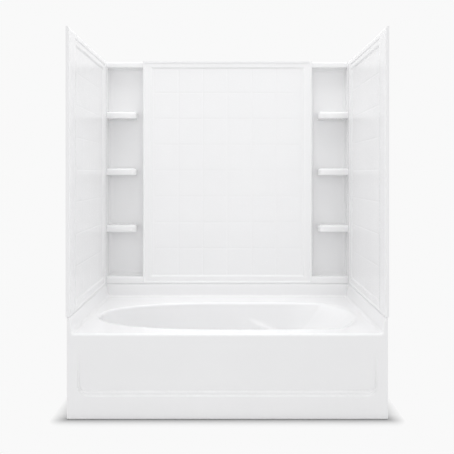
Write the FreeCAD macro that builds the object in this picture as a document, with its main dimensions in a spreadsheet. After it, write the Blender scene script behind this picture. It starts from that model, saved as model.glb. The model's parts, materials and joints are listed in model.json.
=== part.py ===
import FreeCAD, Part
import math
import os
import re

import Sketcher
from FreeCAD import Placement, Rotation, Vector

# Alcove bath with a moulded wall surround, in millimetres.
# X runs along the bath, Y from the apron to the back wall, Z up from the floor.
SIZES = {
    # Whole unit
    "bath_length": 1524,
    "unit_depth": 914,
    "unit_height": 1868,
    "wall_overhang": 6,
    "wall_span": "=bath_length + 2 * wall_overhang",
    # Bath: deck, apron and the raised ledge that carries the walls
    "shell_wall": 6,
    "deck_height": 406,
    "ledge_rise": 76,
    "ledge_height": "=deck_height + ledge_rise",
    "curb_width": 25,
    "curb_lean": 15,
    "back_lean": 13,
    "ledge_lip": 1,
    "cove_radius": 30,
    "apron_radius": 8,
    "flange_rise": 25,
    "flange_wall": 4.5,
    "flange_clear": 3,
    "fixing_hole": 3,
    "stud_pitch": 406.4,
    "end_fixing_pitch": 609.6,
    "apron_foot": 27,
    "panel_margin": 50,
    "panel_low": 112,
    "panel_bead": 16,
    "panel_drop": 76,
    "panel_top": "=deck_height - panel_drop",
    "panel_sink": 9,
    "panel_radius": 50,
    # Basin
    "basin_end_margin": 78,
    "basin_half_length": "=bath_length / 2 - basin_end_margin",
    "basin_front_margin": 86,
    "basin_back_margin": 166,
    "deck_depth": "=unit_depth - sheet_wall - niche_depth - ledge_lip - back_lean",
    "basin_half_width": "=(deck_depth - basin_front_margin - basin_back_margin) / 2",
    "basin_from_apron": "=basin_front_margin + basin_half_width",
    "basin_floor": 96,
    "drain_end_lean": 20.84,
    "backrest_lean": 46.79,
    "side_lean": 16.53,
    "drain_end_draw": "=(deck_height - basin_floor) * tan(drain_end_lean)",
    "backrest_draw": "=(deck_height - basin_floor) * tan(backrest_lean)",
    "side_draw": "=(deck_height - basin_floor) * tan(side_lean)",
    "facet_lean": 14,
    "facet_start": 35.5,
    "rim_radius": 14,
    # Walls
    "sheet_wall": 5,
    "seal_height": 3,
    "edge_width": 16,
    "niche_depth": 85,
    "niche_radius": 22,
    "niche_width": 225,
    "panel_half": "=wall_span / 2 - edge_width - niche_width",
    "lip_height": 36,
    "sill_height": 42,
    "first_shelf": 362,
    "shelf_low": "=ledge_height + seal_height + first_shelf",
    "shelf_pitch": 354,
    "shelf_height": 42,
    "shelf_gap": 39,
    "shelf_radius": 24,
    "top_flange": 20,
    # Framed tile relief
    "step_depth": 2.5,
    "field_depth": 7,
    "frame_outer": 11,
    "frame_side": 54,
    "frame_low": 48,
    "field_low": "=ledge_height + seal_height + frame_low",
    "frame_top": 41,
    "tile_margin": 15.8,
    "tile_rise": 8,
    "end_front_border": 112,
    "end_front_band": 24,
    "end_back_border": 38,
    "end_back_band": 38,
    "groove_width": 3,
    "groove_depth": 1,
    # Corner joints of the walls
    "clip_height": 45,
    "clip_sheet": 1.5,
    "clip_grip": 9,
    # Base
    "board_height": 18,
    "board_length": 700,
    "board_inset": 27,
    "board_width": "=2 * (basin_half_width - side_draw - board_inset)",
    "bearer_width": 38,
    "bearer_inset": 31,
    "bearer_spread": "=board_width - 2 * bearer_inset - bearer_width",
    # Waste and overflow
    "drain_from_end": 262,
    "drain_from_centre": "=bath_length / 2 - drain_from_end",
    "drain_hole": 22,
    "strainer_rim": 13,
    "strainer_rise": 3.5,
    "strainer_edge": 1.5,
    "strainer_wall": 4,
    "strainer_depth": 22,
    "grid_rebate": 2,
    "grid_seat": 1,
    "grid_sheet": 2,
    "grid_hole": 3.2,
    "grid_circle": 12.5,
    "bar_size": 6,
    "bar_drop": 8,
    "boss_radius": 5,
    "screw_radius": 2,
    "head_radius": 4,
    "head_crown": 3.2,
    "head_height": 2,
    "pipe_radius": 19.05,
    "pipe_wall": 2,
    "socket_wall": 4,
    "socket_depth": 24,
    "slip_gap": 0.3,
    "riser_from_end": 34,
    "riser_from_centre": "=bath_length / 2 - riser_from_end",
    "waste_height": 58,
    "shoe_rim": 34,
    "shoe_chamfer": 3,
    "tee_foot": 8,
    "seat_height": 40,
    "seat_ledge": 4,
    "tail_low": 4,
    "tail_clear": 0.65,
    "nut_radius": 27,
    "nut_length": 12,
    "overflow_drop": 88,
    "overflow_hole": 28,
    "flange_radius": 38,
    "flange_sheet": 4,
    "gasket_height": 3,
    "gasket_thin": 2,
    "elbow_back": 24,
    "lug_radius": 6,
    "lug_inset": 6,
    "lug_length": 12,
    "plate_radius": 41,
    "plate_sheet": 2.5,
    "plate_bevel": 4,
    "slot_above": 7,
    "slot_below": 11,
    "screw_stand": 1.3,
    # Trip lever
    "pivot_depth": 6,
    "pin_radius": 2.5,
    "pin_fit": 0.05,
    "ear_half": 7,
    "ear_drop": 5,
    "foot_width": 8,
    "bridge_width": 4,
    "lever_sheet": 4,
    "lever_half": 3,
    "lever_hub": 5,
    "lever_knob": 5,
    "lever_end": 6,
    "lever_handle": 44,
    "lever_swing": 24,
    "fork_gap": 0.6,
    "fork_sheet": 2,
    "link_radius": 2,
    "link_play": 0.4,
    "slot_half": 4,
    "yoke_half": 4,
    "yoke_drop": 12,
    "yoke_base": 3,
    "cheek_rise": 5,
    "plunger_radius": 16.2,
    "plunger_wall": 3,
    "plunger_height": 34,
    "plunger_bar": 6,
    "rod_radius": 2.5,
}
SHELVES = 3
TILE_ROWS = 8
TILE_COLUMNS = 6
END_COLUMNS = 4
CLIPS = 4
GRID_HOLES = 8
NUT_SIDES = 8

doc = FreeCAD.newDocument("tub_and_shower_unit")
sheet = doc.addObject("Spreadsheet::Sheet", "Sizes")
for row, (name, number) in enumerate(SIZES.items(), start=1):
    sheet.set("A%d" % row, name)
    sheet.setAlias("B%d" % row, name)
for name, number in SIZES.items():
    sheet.set(name, str(number))
doc.recompute()

WORD = re.compile(r"[a-z_]+")
NODES = []


def sheet_name(word):
    return "Sizes." + word.group() if word.group() in SIZES else word.group()


def cell(formula):
    """A formula in the sheet's own names, as an expression of the document."""
    return WORD.sub(sheet_name, str(formula))


def value(formula):
    return float(sheet.evalExpression(cell(formula)))


def bind(item, **formulas):
    for name, formula in formulas.items():
        item.setExpression(name, cell(formula))
    return item


def place(item, x="0", y="0", z="0"):
    for axis, formula in zip("xyz", (x, y, z)):
        item.setExpression("Placement.Base." + axis, cell(formula))
    return item


def node(item, label):
    """Name a finished piece; the label names its file."""
    item.Label = label
    NODES.append(item)
    return item


def box(name, x, y, z, length, width, height):
    item = doc.addObject("Part::Box", name)
    bind(item, Length=length, Width=width, Height=height)
    return place(item, x, y, z)


UPRIGHT = Vector(0, 0, 1)
AXES = {"X": Rotation(Vector(0, 1, 0), 90), "Y": Rotation(Vector(1, 0, 0), -90), "Z": Rotation()}


def rod(name, radius, length, x, y, z, axis="Z"):
    item = doc.addObject("Part::Cylinder", name)
    item.Placement = Placement(Vector(), AXES[axis])
    bind(item, Radius=radius, Height=length)
    return place(item, x, y, z)


def fuse(name, *pieces):
    item = doc.addObject("Part::MultiFuse", name)
    item.Shapes = list(pieces)
    item.Refine = True
    return item


def cut(name, base, *tools):
    item = doc.addObject("Part::Cut", name)
    item.Base = base
    item.Tool = tools[0] if len(tools) == 1 else fuse(name + "_tools", *tools)
    item.Refine = True
    return item


def group(name, pieces):
    item = doc.addObject("Part::Compound", name)
    item.Links = list(pieces)
    return item


def mirrored(name, source):
    item = doc.addObject("Part::Mirroring", name)
    item.Source = source
    item.Normal = Vector(1, 0, 0)
    return item


def new_body(name):
    return doc.addObject("PartDesign::Body", name)


def outline(body, plane, loops, offset="0"):
    """A sketch of closed loops; every corner is held by two formulas."""
    sketch = body.newObject("Sketcher::SketchObject", body.Name + "_outline")
    base = [feature for feature in body.Origin.OriginFeatures if feature.Role == plane][0]
    sketch.AttachmentSupport = (base, [""])
    sketch.MapMode = "FlatFace"
    bind(sketch, **{"AttachmentOffset.Base.z": offset})
    for corners in loops:
        first = sketch.GeometryCount
        count = len(corners)
        points = [Vector(value(u), value(v), 0) for u, v in corners]
        lines = [Part.LineSegment(points[i], points[(i + 1) % count]) for i in range(count)]
        sketch.addGeometry(lines, False)
        for i in range(count):
            after = first + (i + 1) % count
            sketch.addConstraint(Sketcher.Constraint("Coincident", first + i, 2, after, 1))
        for i, corner in enumerate(corners):
            for kind, axis, formula in (("DistanceX", -2, corner[0]), ("DistanceY", -1, corner[1])):
                if abs(value(formula)) < 1e-9:
                    sketch.addConstraint(Sketcher.Constraint("PointOnObject", first + i, 1, axis))
                else:
                    held = Sketcher.Constraint(kind, -1, 1, first + i, 1, value(formula))
                    number = sketch.addConstraint(held)
                    sketch.setExpression("Constraints[%d]" % number, cell(formula))
    return sketch


def rectangle(left, right, low, high):
    return [(left, low), (right, low), (right, high), (left, high)]


def feature(body, kind, sketch, length, reverse=False):
    item = body.newObject("PartDesign::" + kind, body.Name + "_" + kind.lower())
    item.Profile = sketch
    item.Reversed = reverse
    bind(item, Length=length)
    sketch.Visibility = False
    doc.recompute()
    return item


def pad(body, sketch, length, reverse=False):
    return feature(body, "Pad", sketch, length, reverse)


def pocket(body, sketch, length, reverse=False):
    before = body.Shape.Volume
    item = feature(body, "Pocket", sketch, length, reverse)
    if body.Shape.Volume >= before:
        raise RuntimeError("a pocket of %s cut nothing" % body.Name)
    return item


def turned(name, profile, x="0", y="0", z="0", axis="Z"):
    """A turned piece: a profile of (radius, height) corners about its own axis."""
    body = new_body(name)
    sketch = outline(body, "XZ_Plane", [profile])
    item = body.newObject("PartDesign::Revolution", name + "_turning")
    item.Profile = sketch
    item.ReferenceAxis = (sketch, ["V_Axis"])
    item.Angle = 360
    body.Placement = Placement(Vector(), AXES[axis])
    return place(body, x, y, z)


def ring(inner, outer, low, high):
    return rectangle(inner, outer, low, high)


def rounded(body, radius, wanted, along=None):
    """Round the edges of a body whose two ends both satisfy the test and that run along an axis."""
    doc.recompute()
    base = body.Tip
    names = []
    for number, edge in enumerate(base.Shape.Edges, start=1):
        if len(edge.Vertexes) == 2 and all(wanted(vertex.Point) for vertex in edge.Vertexes):
            run = edge.Vertexes[1].Point - edge.Vertexes[0].Point
            if along is None or run.cross(along).Length < 0.001 * run.Length:
                names.append("Edge%d" % number)
    if not names:
        raise RuntimeError("no edge to round on %s" % body.Name)
    item = body.newObject("PartDesign::Fillet", body.Name + "_round")
    item.Base = (base, names)
    bind(item, Radius=radius)
    doc.recompute()
    return item


def near(a, formula):
    return abs(a - value(formula)) < 0.01


# Places that several pieces share
FRONT = "-unit_depth / 2"
BACK = "unit_depth / 2"
BATH_END = "bath_length / 2"
DECK_END = "(bath_length / 2 - curb_width)"
LEDGE_END = "(bath_length / 2 - curb_width + curb_lean)"
WALL_FACE = "(wall_span / 2 - edge_width)"
PANEL_FACE = "(unit_depth / 2 - sheet_wall - niche_depth)"
LEDGE_BACK = "(unit_depth / 2 - sheet_wall - niche_depth - ledge_lip)"
DECK_BACK = "(unit_depth / 2 - sheet_wall - niche_depth - ledge_lip - back_lean)"
WALL_FOOT = "(ledge_height + seal_height)"
BASIN_Y = "(basin_from_apron - unit_depth / 2)"
FACE_TOP = "(unit_height - top_flange)"
FIELD_TOP = "(unit_height - frame_top)"
END_FIELD_TOP = "(%s - frame_top)" % FACE_TOP
TILE_HEIGHT = "((%s - field_low) / %d)" % (FIELD_TOP, TILE_ROWS)
TILE_WIDTH = "(2 * (panel_half - frame_side - tile_margin) / %d)" % TILE_COLUMNS
END_REAR = "(%s - seal_height)" % PANEL_FACE
END_FIELD_FRONT = "(%s + end_front_border + end_front_band)" % FRONT
END_FIELD_REAR = "(%s - end_back_border - end_back_band)" % END_REAR
END_TILE_WIDTH = "((%s - %s) / %d)" % (END_FIELD_REAR, END_FIELD_FRONT, END_COLUMNS)


# Bath shell

def bath_tray():
    """Apron, deck, back ledge and back flange: one thin section drawn along the bath."""
    body = new_body("bath_tray")
    section = [
        (FRONT, "0"),
        (FRONT, "deck_height"),
        (DECK_BACK, "deck_height"),
        (LEDGE_BACK, "ledge_height"),
        (BACK, "ledge_height"),
        (BACK, "ledge_height - shell_wall"),
        (LEDGE_BACK + " + 0.7 * shell_wall", "ledge_height - shell_wall"),
        (DECK_BACK + " + 0.7 * shell_wall", "deck_height - shell_wall"),
        (FRONT + " + shell_wall", "deck_height - shell_wall"),
        (FRONT + " + shell_wall", "shell_wall"),
        (FRONT + " + apron_foot", "shell_wall"),
        (FRONT + " + apron_foot", "0"),
    ]
    pad(body, outline(body, "YZ_Plane", [section], "-bath_length / 2"), "bath_length")
    rounded(body, "apron_radius", lambda p: near(p.y, FRONT) and near(p.z, "deck_height"))
    rounded(body, "cove_radius", lambda p: near(p.y, DECK_BACK) and near(p.z, "deck_height"))
    apron_panel(body)
    reach = "(panel_half - sheet_wall - flange_clear)"
    flange = rectangle("-" + reach, reach, "ledge_height - shell_wall", "ledge_height + flange_rise")
    pad(body, outline(body, "XZ_Plane", [flange], "-unit_depth / 2"), "flange_wall")
    return body


def apron_panel(body):
    """Thicken the apron behind its sunk panel, so that the wall stays whole there."""
    behind = [
        (FRONT + " + shell_wall / 2", "panel_top"),
        (FRONT + " + shell_wall / 2", "panel_low - shell_wall"),
        (FRONT + " + shell_wall", "panel_low - shell_wall"),
        (FRONT + " + panel_sink + shell_wall", "panel_low + panel_bead - shell_wall"),
        (FRONT + " + panel_sink + shell_wall", "panel_low + panel_bead + shell_wall"),
        (FRONT + " + shell_wall", "panel_top"),
    ]
    start = "panel_margin - bath_length / 2 - shell_wall"
    pad(body, outline(body, "YZ_Plane", [behind], start), "bath_length - 2 * panel_margin + 2 * shell_wall")


def apron_recess():
    """The apron's sunk panel: it deepens downwards, ends on a sloping bead and has round lower corners."""
    start = "panel_margin - bath_length / 2"
    wedge = new_body("recess_wedge")
    sunk = [
        (FRONT, "panel_top"),
        (FRONT, "panel_low"),
        (FRONT + " + panel_sink", "panel_low + panel_bead"),
    ]
    pad(wedge, outline(wedge, "YZ_Plane", [sunk], start), "bath_length - 2 * panel_margin")
    plate = new_body("recess_plate")
    face = rectangle(start, "bath_length / 2 - panel_margin", "panel_low", "panel_top")
    pad(plate, outline(plate, "XZ_Plane", [face], "unit_depth / 2"), "panel_sink", True)
    rounded(plate, "panel_radius", lambda p: near(p.z, "panel_low"), Vector(0, 1, 0))
    item = doc.addObject("Part::Common", "apron_recess")
    item.Base = wedge
    item.Tool = plate
    return item


def bath_curb(name, side):
    """The raised ledge at one end of the deck, with its flange; side is -1 or 1."""
    body = new_body(name)
    section = [
        (DECK_END, "deck_height"),
        (LEDGE_END, "ledge_height"),
        (BATH_END, "ledge_height"),
        (BATH_END, "ledge_height - shell_wall"),
        (LEDGE_END + " + shell_wall", "ledge_height - shell_wall"),
        (DECK_END + " + shell_wall", "deck_height - shell_wall"),
        (DECK_END, "deck_height - shell_wall"),
    ]
    ear = [
        (DECK_END, "deck_height - shell_wall"),
        (DECK_END, "deck_height"),
        (LEDGE_END, "ledge_height"),
        (BATH_END, "ledge_height"),
        (BATH_END, "deck_height - shell_wall"),
    ]
    flange = rectangle(BATH_END + " - flange_wall", BATH_END,
                       "ledge_height - shell_wall", "ledge_height + flange_rise")
    sided = [[("%d * (%s)" % (side, u), v) for u, v in loop] for loop in (section, ear, flange)]
    pad(body, outline(body, "XZ_Plane", [sided[0]], "-unit_depth / 2"), "unit_depth")
    pad(body, outline(body, "XZ_Plane", [sided[1]], "unit_depth / 2 - shell_wall"), "shell_wall")
    rear = "(%s - seal_height - sheet_wall - flange_clear)" % PANEL_FACE
    length = rear + " + unit_depth / 2 - sheet_wall - flange_clear"
    pad(body, outline(body, "XZ_Plane", [sided[2]], "-" + rear), length)
    return body


# How far down, and how far in, each ring of the basin lies, as shares of the whole
BASIN_RINGS = [
    (0, 0, 0),
    (0.1, 0.02, 0.08),
    (0.4, 0.14, 0.31),
    (0.7, 0.32, 0.61),
    (0.9, 0.6, 0.83),
    (1, 1, 1),
]
DRAIN_END_FULLNESS = 2.3
BACKREST_FULLNESS = 3.1
RING_POINTS = 32
# How far the drain end's oval falls back over half the width of the overflow plate
END_SAG = "(basin_half_length * (plate_radius / basin_half_width) ^ %g / %g)" % ((DRAIN_END_FULLNESS,) * 2)


def basin_ring(share, draw_steep, draw_backrest, wall):
    """One level of the basin: an oval, blunter at the backrest, grown outwards by the wall."""
    left = -value("basin_half_length") + value("drain_end_draw") * draw_steep - wall
    right = value("basin_half_length") - value("backrest_draw") * draw_backrest + wall
    half = value("basin_half_width") - value("side_draw") * draw_steep + wall
    depth = value("deck_height - basin_floor") + wall
    middle = (left + right) / 2
    points = []
    for i in range(RING_POINTS):
        turn = 2 * math.pi * (i + 0.5) / RING_POINTS
        across, along = math.sin(turn), math.cos(turn)
        fullness = BACKREST_FULLNESS if along > 0 else DRAIN_END_FULLNESS
        reach = (abs(along) ** fullness + abs(across) ** fullness) ** (-1 / fullness)
        x = middle + reach * along * (right - left) / 2
        y = value(BASIN_Y) + reach * across * half
        points.append(Vector(x, y, value("deck_height") - depth * share))
    curve = Part.BSplineCurve()
    curve.interpolate(points, PeriodicFlag=True)
    return Part.Wire([curve.toShape()])


def basin(name, wall):
    """The basin's space, or with a wall its outside, with a flat facet for the overflow."""
    item = doc.addObject("Part::Feature", name)
    bowl = Part.makeLoft([basin_ring(*ring_shares, wall) for ring_shares in BASIN_RINGS], True, False)
    item.Shape = bowl.cut(beyond_facet(wall, -1))
    return item


def beyond_facet(wall, side):
    """The half of space on one side of the overflow facet: -1 outside the basin, 1 inside."""
    reach = value("bath_length")
    corner = Vector(-reach if side < 0 else 0, -reach, -reach)
    half = Part.makeBox(reach, 2 * reach, 2 * reach, corner)
    top = Vector(-value("basin_half_length") + value(END_SAG) - wall, 0, value("deck_height - facet_start"))
    half.Placement = Placement(top, Rotation(Vector(0, 1, 0), -value("facet_lean")))
    return half


def bath_shell():
    curbs = [bath_curb("bath_curb_left", -1), bath_curb("bath_curb_right", 1)]
    outside = basin("basin_outside", value("shell_wall"))
    whole = fuse("bath_whole", bath_tray(), *curbs, outside)
    drain = rod("drain_opening", "drain_hole", "4 * shell_wall", "-drain_from_centre", BASIN_Y,
                "basin_floor - 2 * shell_wall")
    overflow = rod("overflow_opening", "overflow_hole", "riser_from_centre / 2", "-riser_from_centre",
                   BASIN_Y, "deck_height - overflow_drop", "X")
    openings = [basin("basin_space", 0), apron_recess(), drain, overflow]
    for side in (-1, 1):
        openings.append(rod("flange_hole_%d" % (side + 2), "fixing_hole", "3 * flange_wall",
                            "%d * stud_pitch / 2" % side, BACK + " - 2 * flange_wall",
                            "ledge_height + seal_height + flange_rise / 2", "Y"))
    return node(soft_rim(cut("bath_moulding", whole, *openings)), "bath_shell")


def soft_rim(bath):
    """Round the edge where the deck turns down into the basin."""
    doc.recompute()
    item = doc.addObject("Part::Fillet", "bath_with_soft_rim")
    item.Base = bath
    radius = value("rim_radius")
    reach = value("basin_half_length") + radius
    edges = []
    for number, edge in enumerate(bath.Shape.Edges, start=1):
        spread = edge.BoundBox
        on_deck = near(spread.ZMin, "deck_height") and near(spread.ZMax, "deck_height")
        within = max(abs(spread.XMin), abs(spread.XMax)) < reach and spread.YMax < value(DECK_BACK) - radius
        if on_deck and within:
            edges.append((number, radius, radius))
    item.Edges = edges
    return item


# Walls

def frame_and_tiles(body, plane, offset, reverse, frame, field, columns, first_column, pitch):
    """Two sunk steps round the field and the shallow joints of its tile pattern."""
    pocket(body, outline(body, plane, [frame], offset), "step_depth", reverse)
    pocket(body, outline(body, plane, [field], offset), "field_depth", reverse)
    left, right = field[0][0], field[1][0]
    low, high = field[0][1], field[2][1]
    upright = []
    for i in range(columns + 1):
        middle = "(%s + %d * %s)" % (first_column, i, pitch)
        upright.append(rectangle(middle + " - groove_width / 2", middle + " + groove_width / 2", low, high))
    level = []
    for i in range(1, TILE_ROWS):
        middle = "(field_low + tile_rise + %d * %s)" % (i, TILE_HEIGHT)
        level.append(rectangle(left, right, middle + " - groove_width / 2", middle + " + groove_width / 2"))
    for joints in (upright, level):
        pocket(body, outline(body, plane, joints, offset), "field_depth + groove_depth", reverse)


def back_wall():
    body = new_body("back_wall_moulding")
    half = [
        ("wall_span / 2", PANEL_FACE),
        (WALL_FACE, PANEL_FACE),
        (WALL_FACE, BACK + " - sheet_wall"),
        ("panel_half", BACK + " - sheet_wall"),
        ("panel_half", PANEL_FACE),
    ]
    behind = [
        ("panel_half - sheet_wall", PANEL_FACE + " + sheet_wall"),
        ("panel_half - sheet_wall", BACK),
        (WALL_FACE + " + sheet_wall", BACK),
        (WALL_FACE + " + sheet_wall", PANEL_FACE + " + sheet_wall"),
        ("wall_span / 2", PANEL_FACE + " + sheet_wall"),
    ]
    left = [("-(%s)" % u, v) for u, v in reversed(half)]
    left_behind = [("-(%s)" % u, v) for u, v in reversed(behind)]
    plan = half + left + left_behind + behind
    pad(body, outline(body, "XY_Plane", [plan], WALL_FOOT), "unit_height - " + WALL_FOOT)
    inner = (WALL_FACE, "panel_half")
    outer = (WALL_FACE + " + sheet_wall", "panel_half - sheet_wall")
    rounded(body, "niche_radius",
            lambda p: near(p.y, BACK + " - sheet_wall") and any(near(abs(p.x), x) for x in inner), UPRIGHT)
    rounded(body, "niche_radius + sheet_wall",
            lambda p: near(p.y, BACK) and any(near(abs(p.x), x) for x in outer), UPRIGHT)

    solid = []
    hollow = []
    for side in (-1, 1):
        def span(near_edge, far_edge, low, high):
            ends = sorted(("%d * (%s)" % (side, near_edge), "%d * (%s)" % (side, far_edge)), key=value)
            return rectangle(ends[0], ends[1], low, high)
        outside = WALL_FACE + " + sheet_wall / 2"
        inside = WALL_FACE + " - sheet_wall"
        edge = "panel_half - sheet_wall / 2"
        solid.append(span(edge, outside, "unit_height - lip_height", "unit_height"))
        solid.append(span(edge, outside, WALL_FOOT, WALL_FOOT + " + sill_height"))
        hollow.append(span("panel_half + sheet_wall", inside, "unit_height - lip_height + sheet_wall",
                           "unit_height - sheet_wall"))
        hollow.append(span("panel_half + sheet_wall", inside, WALL_FOOT + " + sheet_wall",
                           WALL_FOOT + " + sill_height - sheet_wall"))
        for i in range(SHELVES):
            top = "(shelf_low + %d * shelf_pitch)" % i
            low = top + " - shelf_height"
            solid.append(span("panel_half + shelf_gap", outside, low, top))
            hollow.append(span("panel_half + shelf_gap + shelf_radius", inside, low + " + sheet_wall",
                               top + " - sheet_wall"))
    pad(body, outline(body, "XZ_Plane", solid, "sheet_wall / 2 - unit_depth / 2"),
        "niche_depth + sheet_wall / 2")
    rounded(body, "shelf_radius",
            lambda p: near(abs(p.x), "panel_half + shelf_gap") and near(p.y, PANEL_FACE), UPRIGHT)
    pocket(body, outline(body, "XZ_Plane", hollow, "-unit_depth / 2"), "niche_depth", True)

    top = rectangle("sheet_wall / 2 - panel_half", "panel_half - sheet_wall / 2",
                    PANEL_FACE + " + sheet_wall / 2", BACK)
    pad(body, outline(body, "XY_Plane", [top], "unit_height - sheet_wall"), "sheet_wall")
    field_half = "(panel_half - frame_side)"
    backing = rectangle("-%s - sheet_wall" % field_half, field_half + " + sheet_wall",
                        "field_low - sheet_wall", FIELD_TOP + " + sheet_wall")
    pad(body, outline(body, "XZ_Plane", [backing], "-%s - sheet_wall - field_depth" % PANEL_FACE),
        "field_depth + sheet_wall / 2")
    frame_and_tiles(
        body, "XZ_Plane", "-" + PANEL_FACE, False,
        rectangle("frame_outer - panel_half", "panel_half - frame_outer",
                  WALL_FOOT + " + frame_outer", "unit_height - frame_outer"),
        rectangle("-" + field_half, field_half, "field_low", FIELD_TOP),
        TILE_COLUMNS, "-%s * %d / 2" % (TILE_WIDTH, TILE_COLUMNS), TILE_WIDTH)
    return node(body, "back_wall")


def left_end_wall():
    body = new_body("end_wall_moulding")
    face = "-" + WALL_FACE
    stud = "-wall_span / 2"
    rear = END_REAR
    plan = [
        (stud, FRONT),
        (face, FRONT),
        (face, rear),
        (stud, rear),
        (stud, rear + " - sheet_wall"),
        (face + " - sheet_wall", rear + " - sheet_wall"),
        (face + " - sheet_wall", FRONT + " + sheet_wall"),
        (stud, FRONT + " + sheet_wall"),
    ]
    pad(body, outline(body, "XY_Plane", [plan], WALL_FOOT), FACE_TOP + " - " + WALL_FOOT)
    head = [
        (face, FACE_TOP + " - sheet_wall"),
        (face, FACE_TOP),
        (stud + " + sheet_wall", FACE_TOP),
        (stud + " + sheet_wall", "unit_height"),
        (stud, "unit_height"),
        (stud, FACE_TOP + " - sheet_wall"),
    ]
    pad(body, outline(body, "XZ_Plane", [head], "-" + rear), rear + " + unit_depth / 2")
    rounded(body, "edge_width / 3",
            lambda p: near(p.x, face) and any(near(p.y, y) for y in (FRONT, rear)), UPRIGHT)
    backing = rectangle(END_FIELD_FRONT + " - sheet_wall", END_FIELD_REAR + " + sheet_wall",
                        "field_low - sheet_wall", END_FIELD_TOP + " + sheet_wall")
    pad(body, outline(body, "YZ_Plane", [backing], face + " - sheet_wall - field_depth"),
        "field_depth + sheet_wall / 2")
    frame_and_tiles(
        body, "YZ_Plane", face, False,
        rectangle(FRONT + " + end_front_border", rear + " - end_back_border",
                  WALL_FOOT + " + frame_outer", FACE_TOP + " - frame_outer"),
        rectangle(END_FIELD_FRONT, END_FIELD_REAR, "field_low", END_FIELD_TOP),
        END_COLUMNS, END_FIELD_FRONT, END_TILE_WIDTH)
    holes = []
    for side in (-1, 1):
        middle = "((%s + %s) / 2 + %d * end_fixing_pitch / 2)" % (FRONT, rear, side)
        holes.append(rod("end_flange_hole_%d" % (side + 2), "fixing_hole", "3 * sheet_wall",
                         stud + " - sheet_wall", middle, "unit_height - top_flange / 2", "X"))
    return node(cut("end_wall", body, *holes), "left_end_wall")


def ledge_seals():
    """Foam strips between the ledge and the feet of the walls."""
    back = box("back_seal_strip", "-" + WALL_FACE, PANEL_FACE, "ledge_height",
               "2 * " + WALL_FACE, "sheet_wall", "seal_height")
    node(back, "back_ledge_seal")
    left = box("left_seal_strip", "-%s - sheet_wall" % WALL_FACE, FRONT, "ledge_height",
               "sheet_wall", "unit_depth - sheet_wall - niche_radius", "seal_height")
    node(left, "left_ledge_seal")
    node(mirrored("right_seal_strip", left), "right_ledge_seal")


def corner_joint():
    """The strip between the two flanges of a corner, and the clips that hold them together."""
    strip = box("corner_strip", "-wall_span / 2", PANEL_FACE + " - seal_height", WALL_FOOT,
                "edge_width", "seal_height", FACE_TOP + " - " + WALL_FOOT)
    node(strip, "left_corner_seal")
    node(mirrored("right_corner_strip", strip), "right_corner_seal")
    near_side = "(%s - seal_height - sheet_wall)" % PANEL_FACE
    far_side = "(%s + sheet_wall)" % PANEL_FACE
    root = "(-wall_span / 2)"
    grip = "(clip_grip - wall_span / 2)"
    section = [
        (grip, near_side + " - clip_sheet"),
        (grip, near_side),
        (root, near_side),
        (root, far_side),
        (grip, far_side),
        (grip, far_side + " + clip_sheet"),
        (root + " - clip_sheet", far_side + " + clip_sheet"),
        (root + " - clip_sheet", near_side + " - clip_sheet"),
    ]
    clips = []
    for i in range(CLIPS):
        body = new_body("corner_clip_%d" % (i + 1))
        step = "(%s - %s) / %d" % (FACE_TOP, WALL_FOOT, CLIPS)
        low = "%s + %s * (%d + 0.5) - clip_height / 2" % (WALL_FOOT, step, i)
        pad(body, outline(body, "XY_Plane", [section], low), "clip_height")
        clips.append(body)
    left = node(group("left_clip_set", clips), "left_corner_clips")
    node(mirrored("right_clip_set", left), "right_corner_clips")


def base():
    """A board under the basin's floor on two bearers."""
    under = "(basin_floor - shell_wall)"
    start = "(-drain_from_centre + 2 * plate_radius)"
    board = box("board", start, BASIN_Y + " - board_width / 2", under + " - board_height",
                "board_length", "board_width", "board_height")
    node(board, "base_board")
    bearers = []
    for i, side in enumerate((-1, 1)):
        y = "%s + %d * bearer_spread / 2 - bearer_width / 2" % (BASIN_Y, side)
        bearers.append(box("bearer_%d" % (i + 1), start, y, "0", "board_length", "bearer_width",
                           under + " - board_height"))
    node(group("bearer_pair", bearers), "base_bearers")


# Waste and overflow, all in the upright plane through the middle of the basin

UNDER = "(basin_floor - shell_wall)"
DRAIN_X = "-drain_from_centre"
RISER_X = "-riser_from_centre"
OVERFLOW_Z = "(deck_height - overflow_drop)"
SOCKET = "(pipe_radius + slip_gap)"
HUB = "(pipe_radius + slip_gap + socket_wall)"
BORE = "(pipe_radius - pipe_wall)"
TEE_TOP = "(waste_height + %s + socket_depth)" % HUB
SHOE_END = "(-drain_from_centre - %s - socket_depth)" % HUB
TEE_END = "(-riser_from_centre + %s + socket_depth)" % HUB
ELBOW_LOW = "(%s - overflow_hole - socket_depth)" % OVERFLOW_Z
FACET_TAN = "tan(facet_lean)"
FLANGE_TOP = "(overflow_drop - facet_start - flange_radius)"
RIM_X = "(%s - basin_half_length)" % END_SAG
ELBOW_FACE = "(%s - shell_wall - gasket_thin + %s * %s)" % (RIM_X, FLANGE_TOP, FACET_TAN)
FACET_X = "(%s + (overflow_drop - facet_start) * %s)" % (RIM_X, FACET_TAN)
PIVOT_X = "(%s - pivot_depth * cos(facet_lean))" % FACET_X
PIVOT_Z = "(%s - pivot_depth * sin(facet_lean))" % OVERFLOW_Z
ARM = "(%s + riser_from_centre)" % PIVOT_X
STROKE = "(2 * %s * tan(lever_swing / 2))" % ARM
LINK_Z = "(%s + %s / 2)" % (PIVOT_Z, STROKE)
PLUNGER_LOW = "(seat_height + slip_gap + %s)" % STROKE


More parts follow.
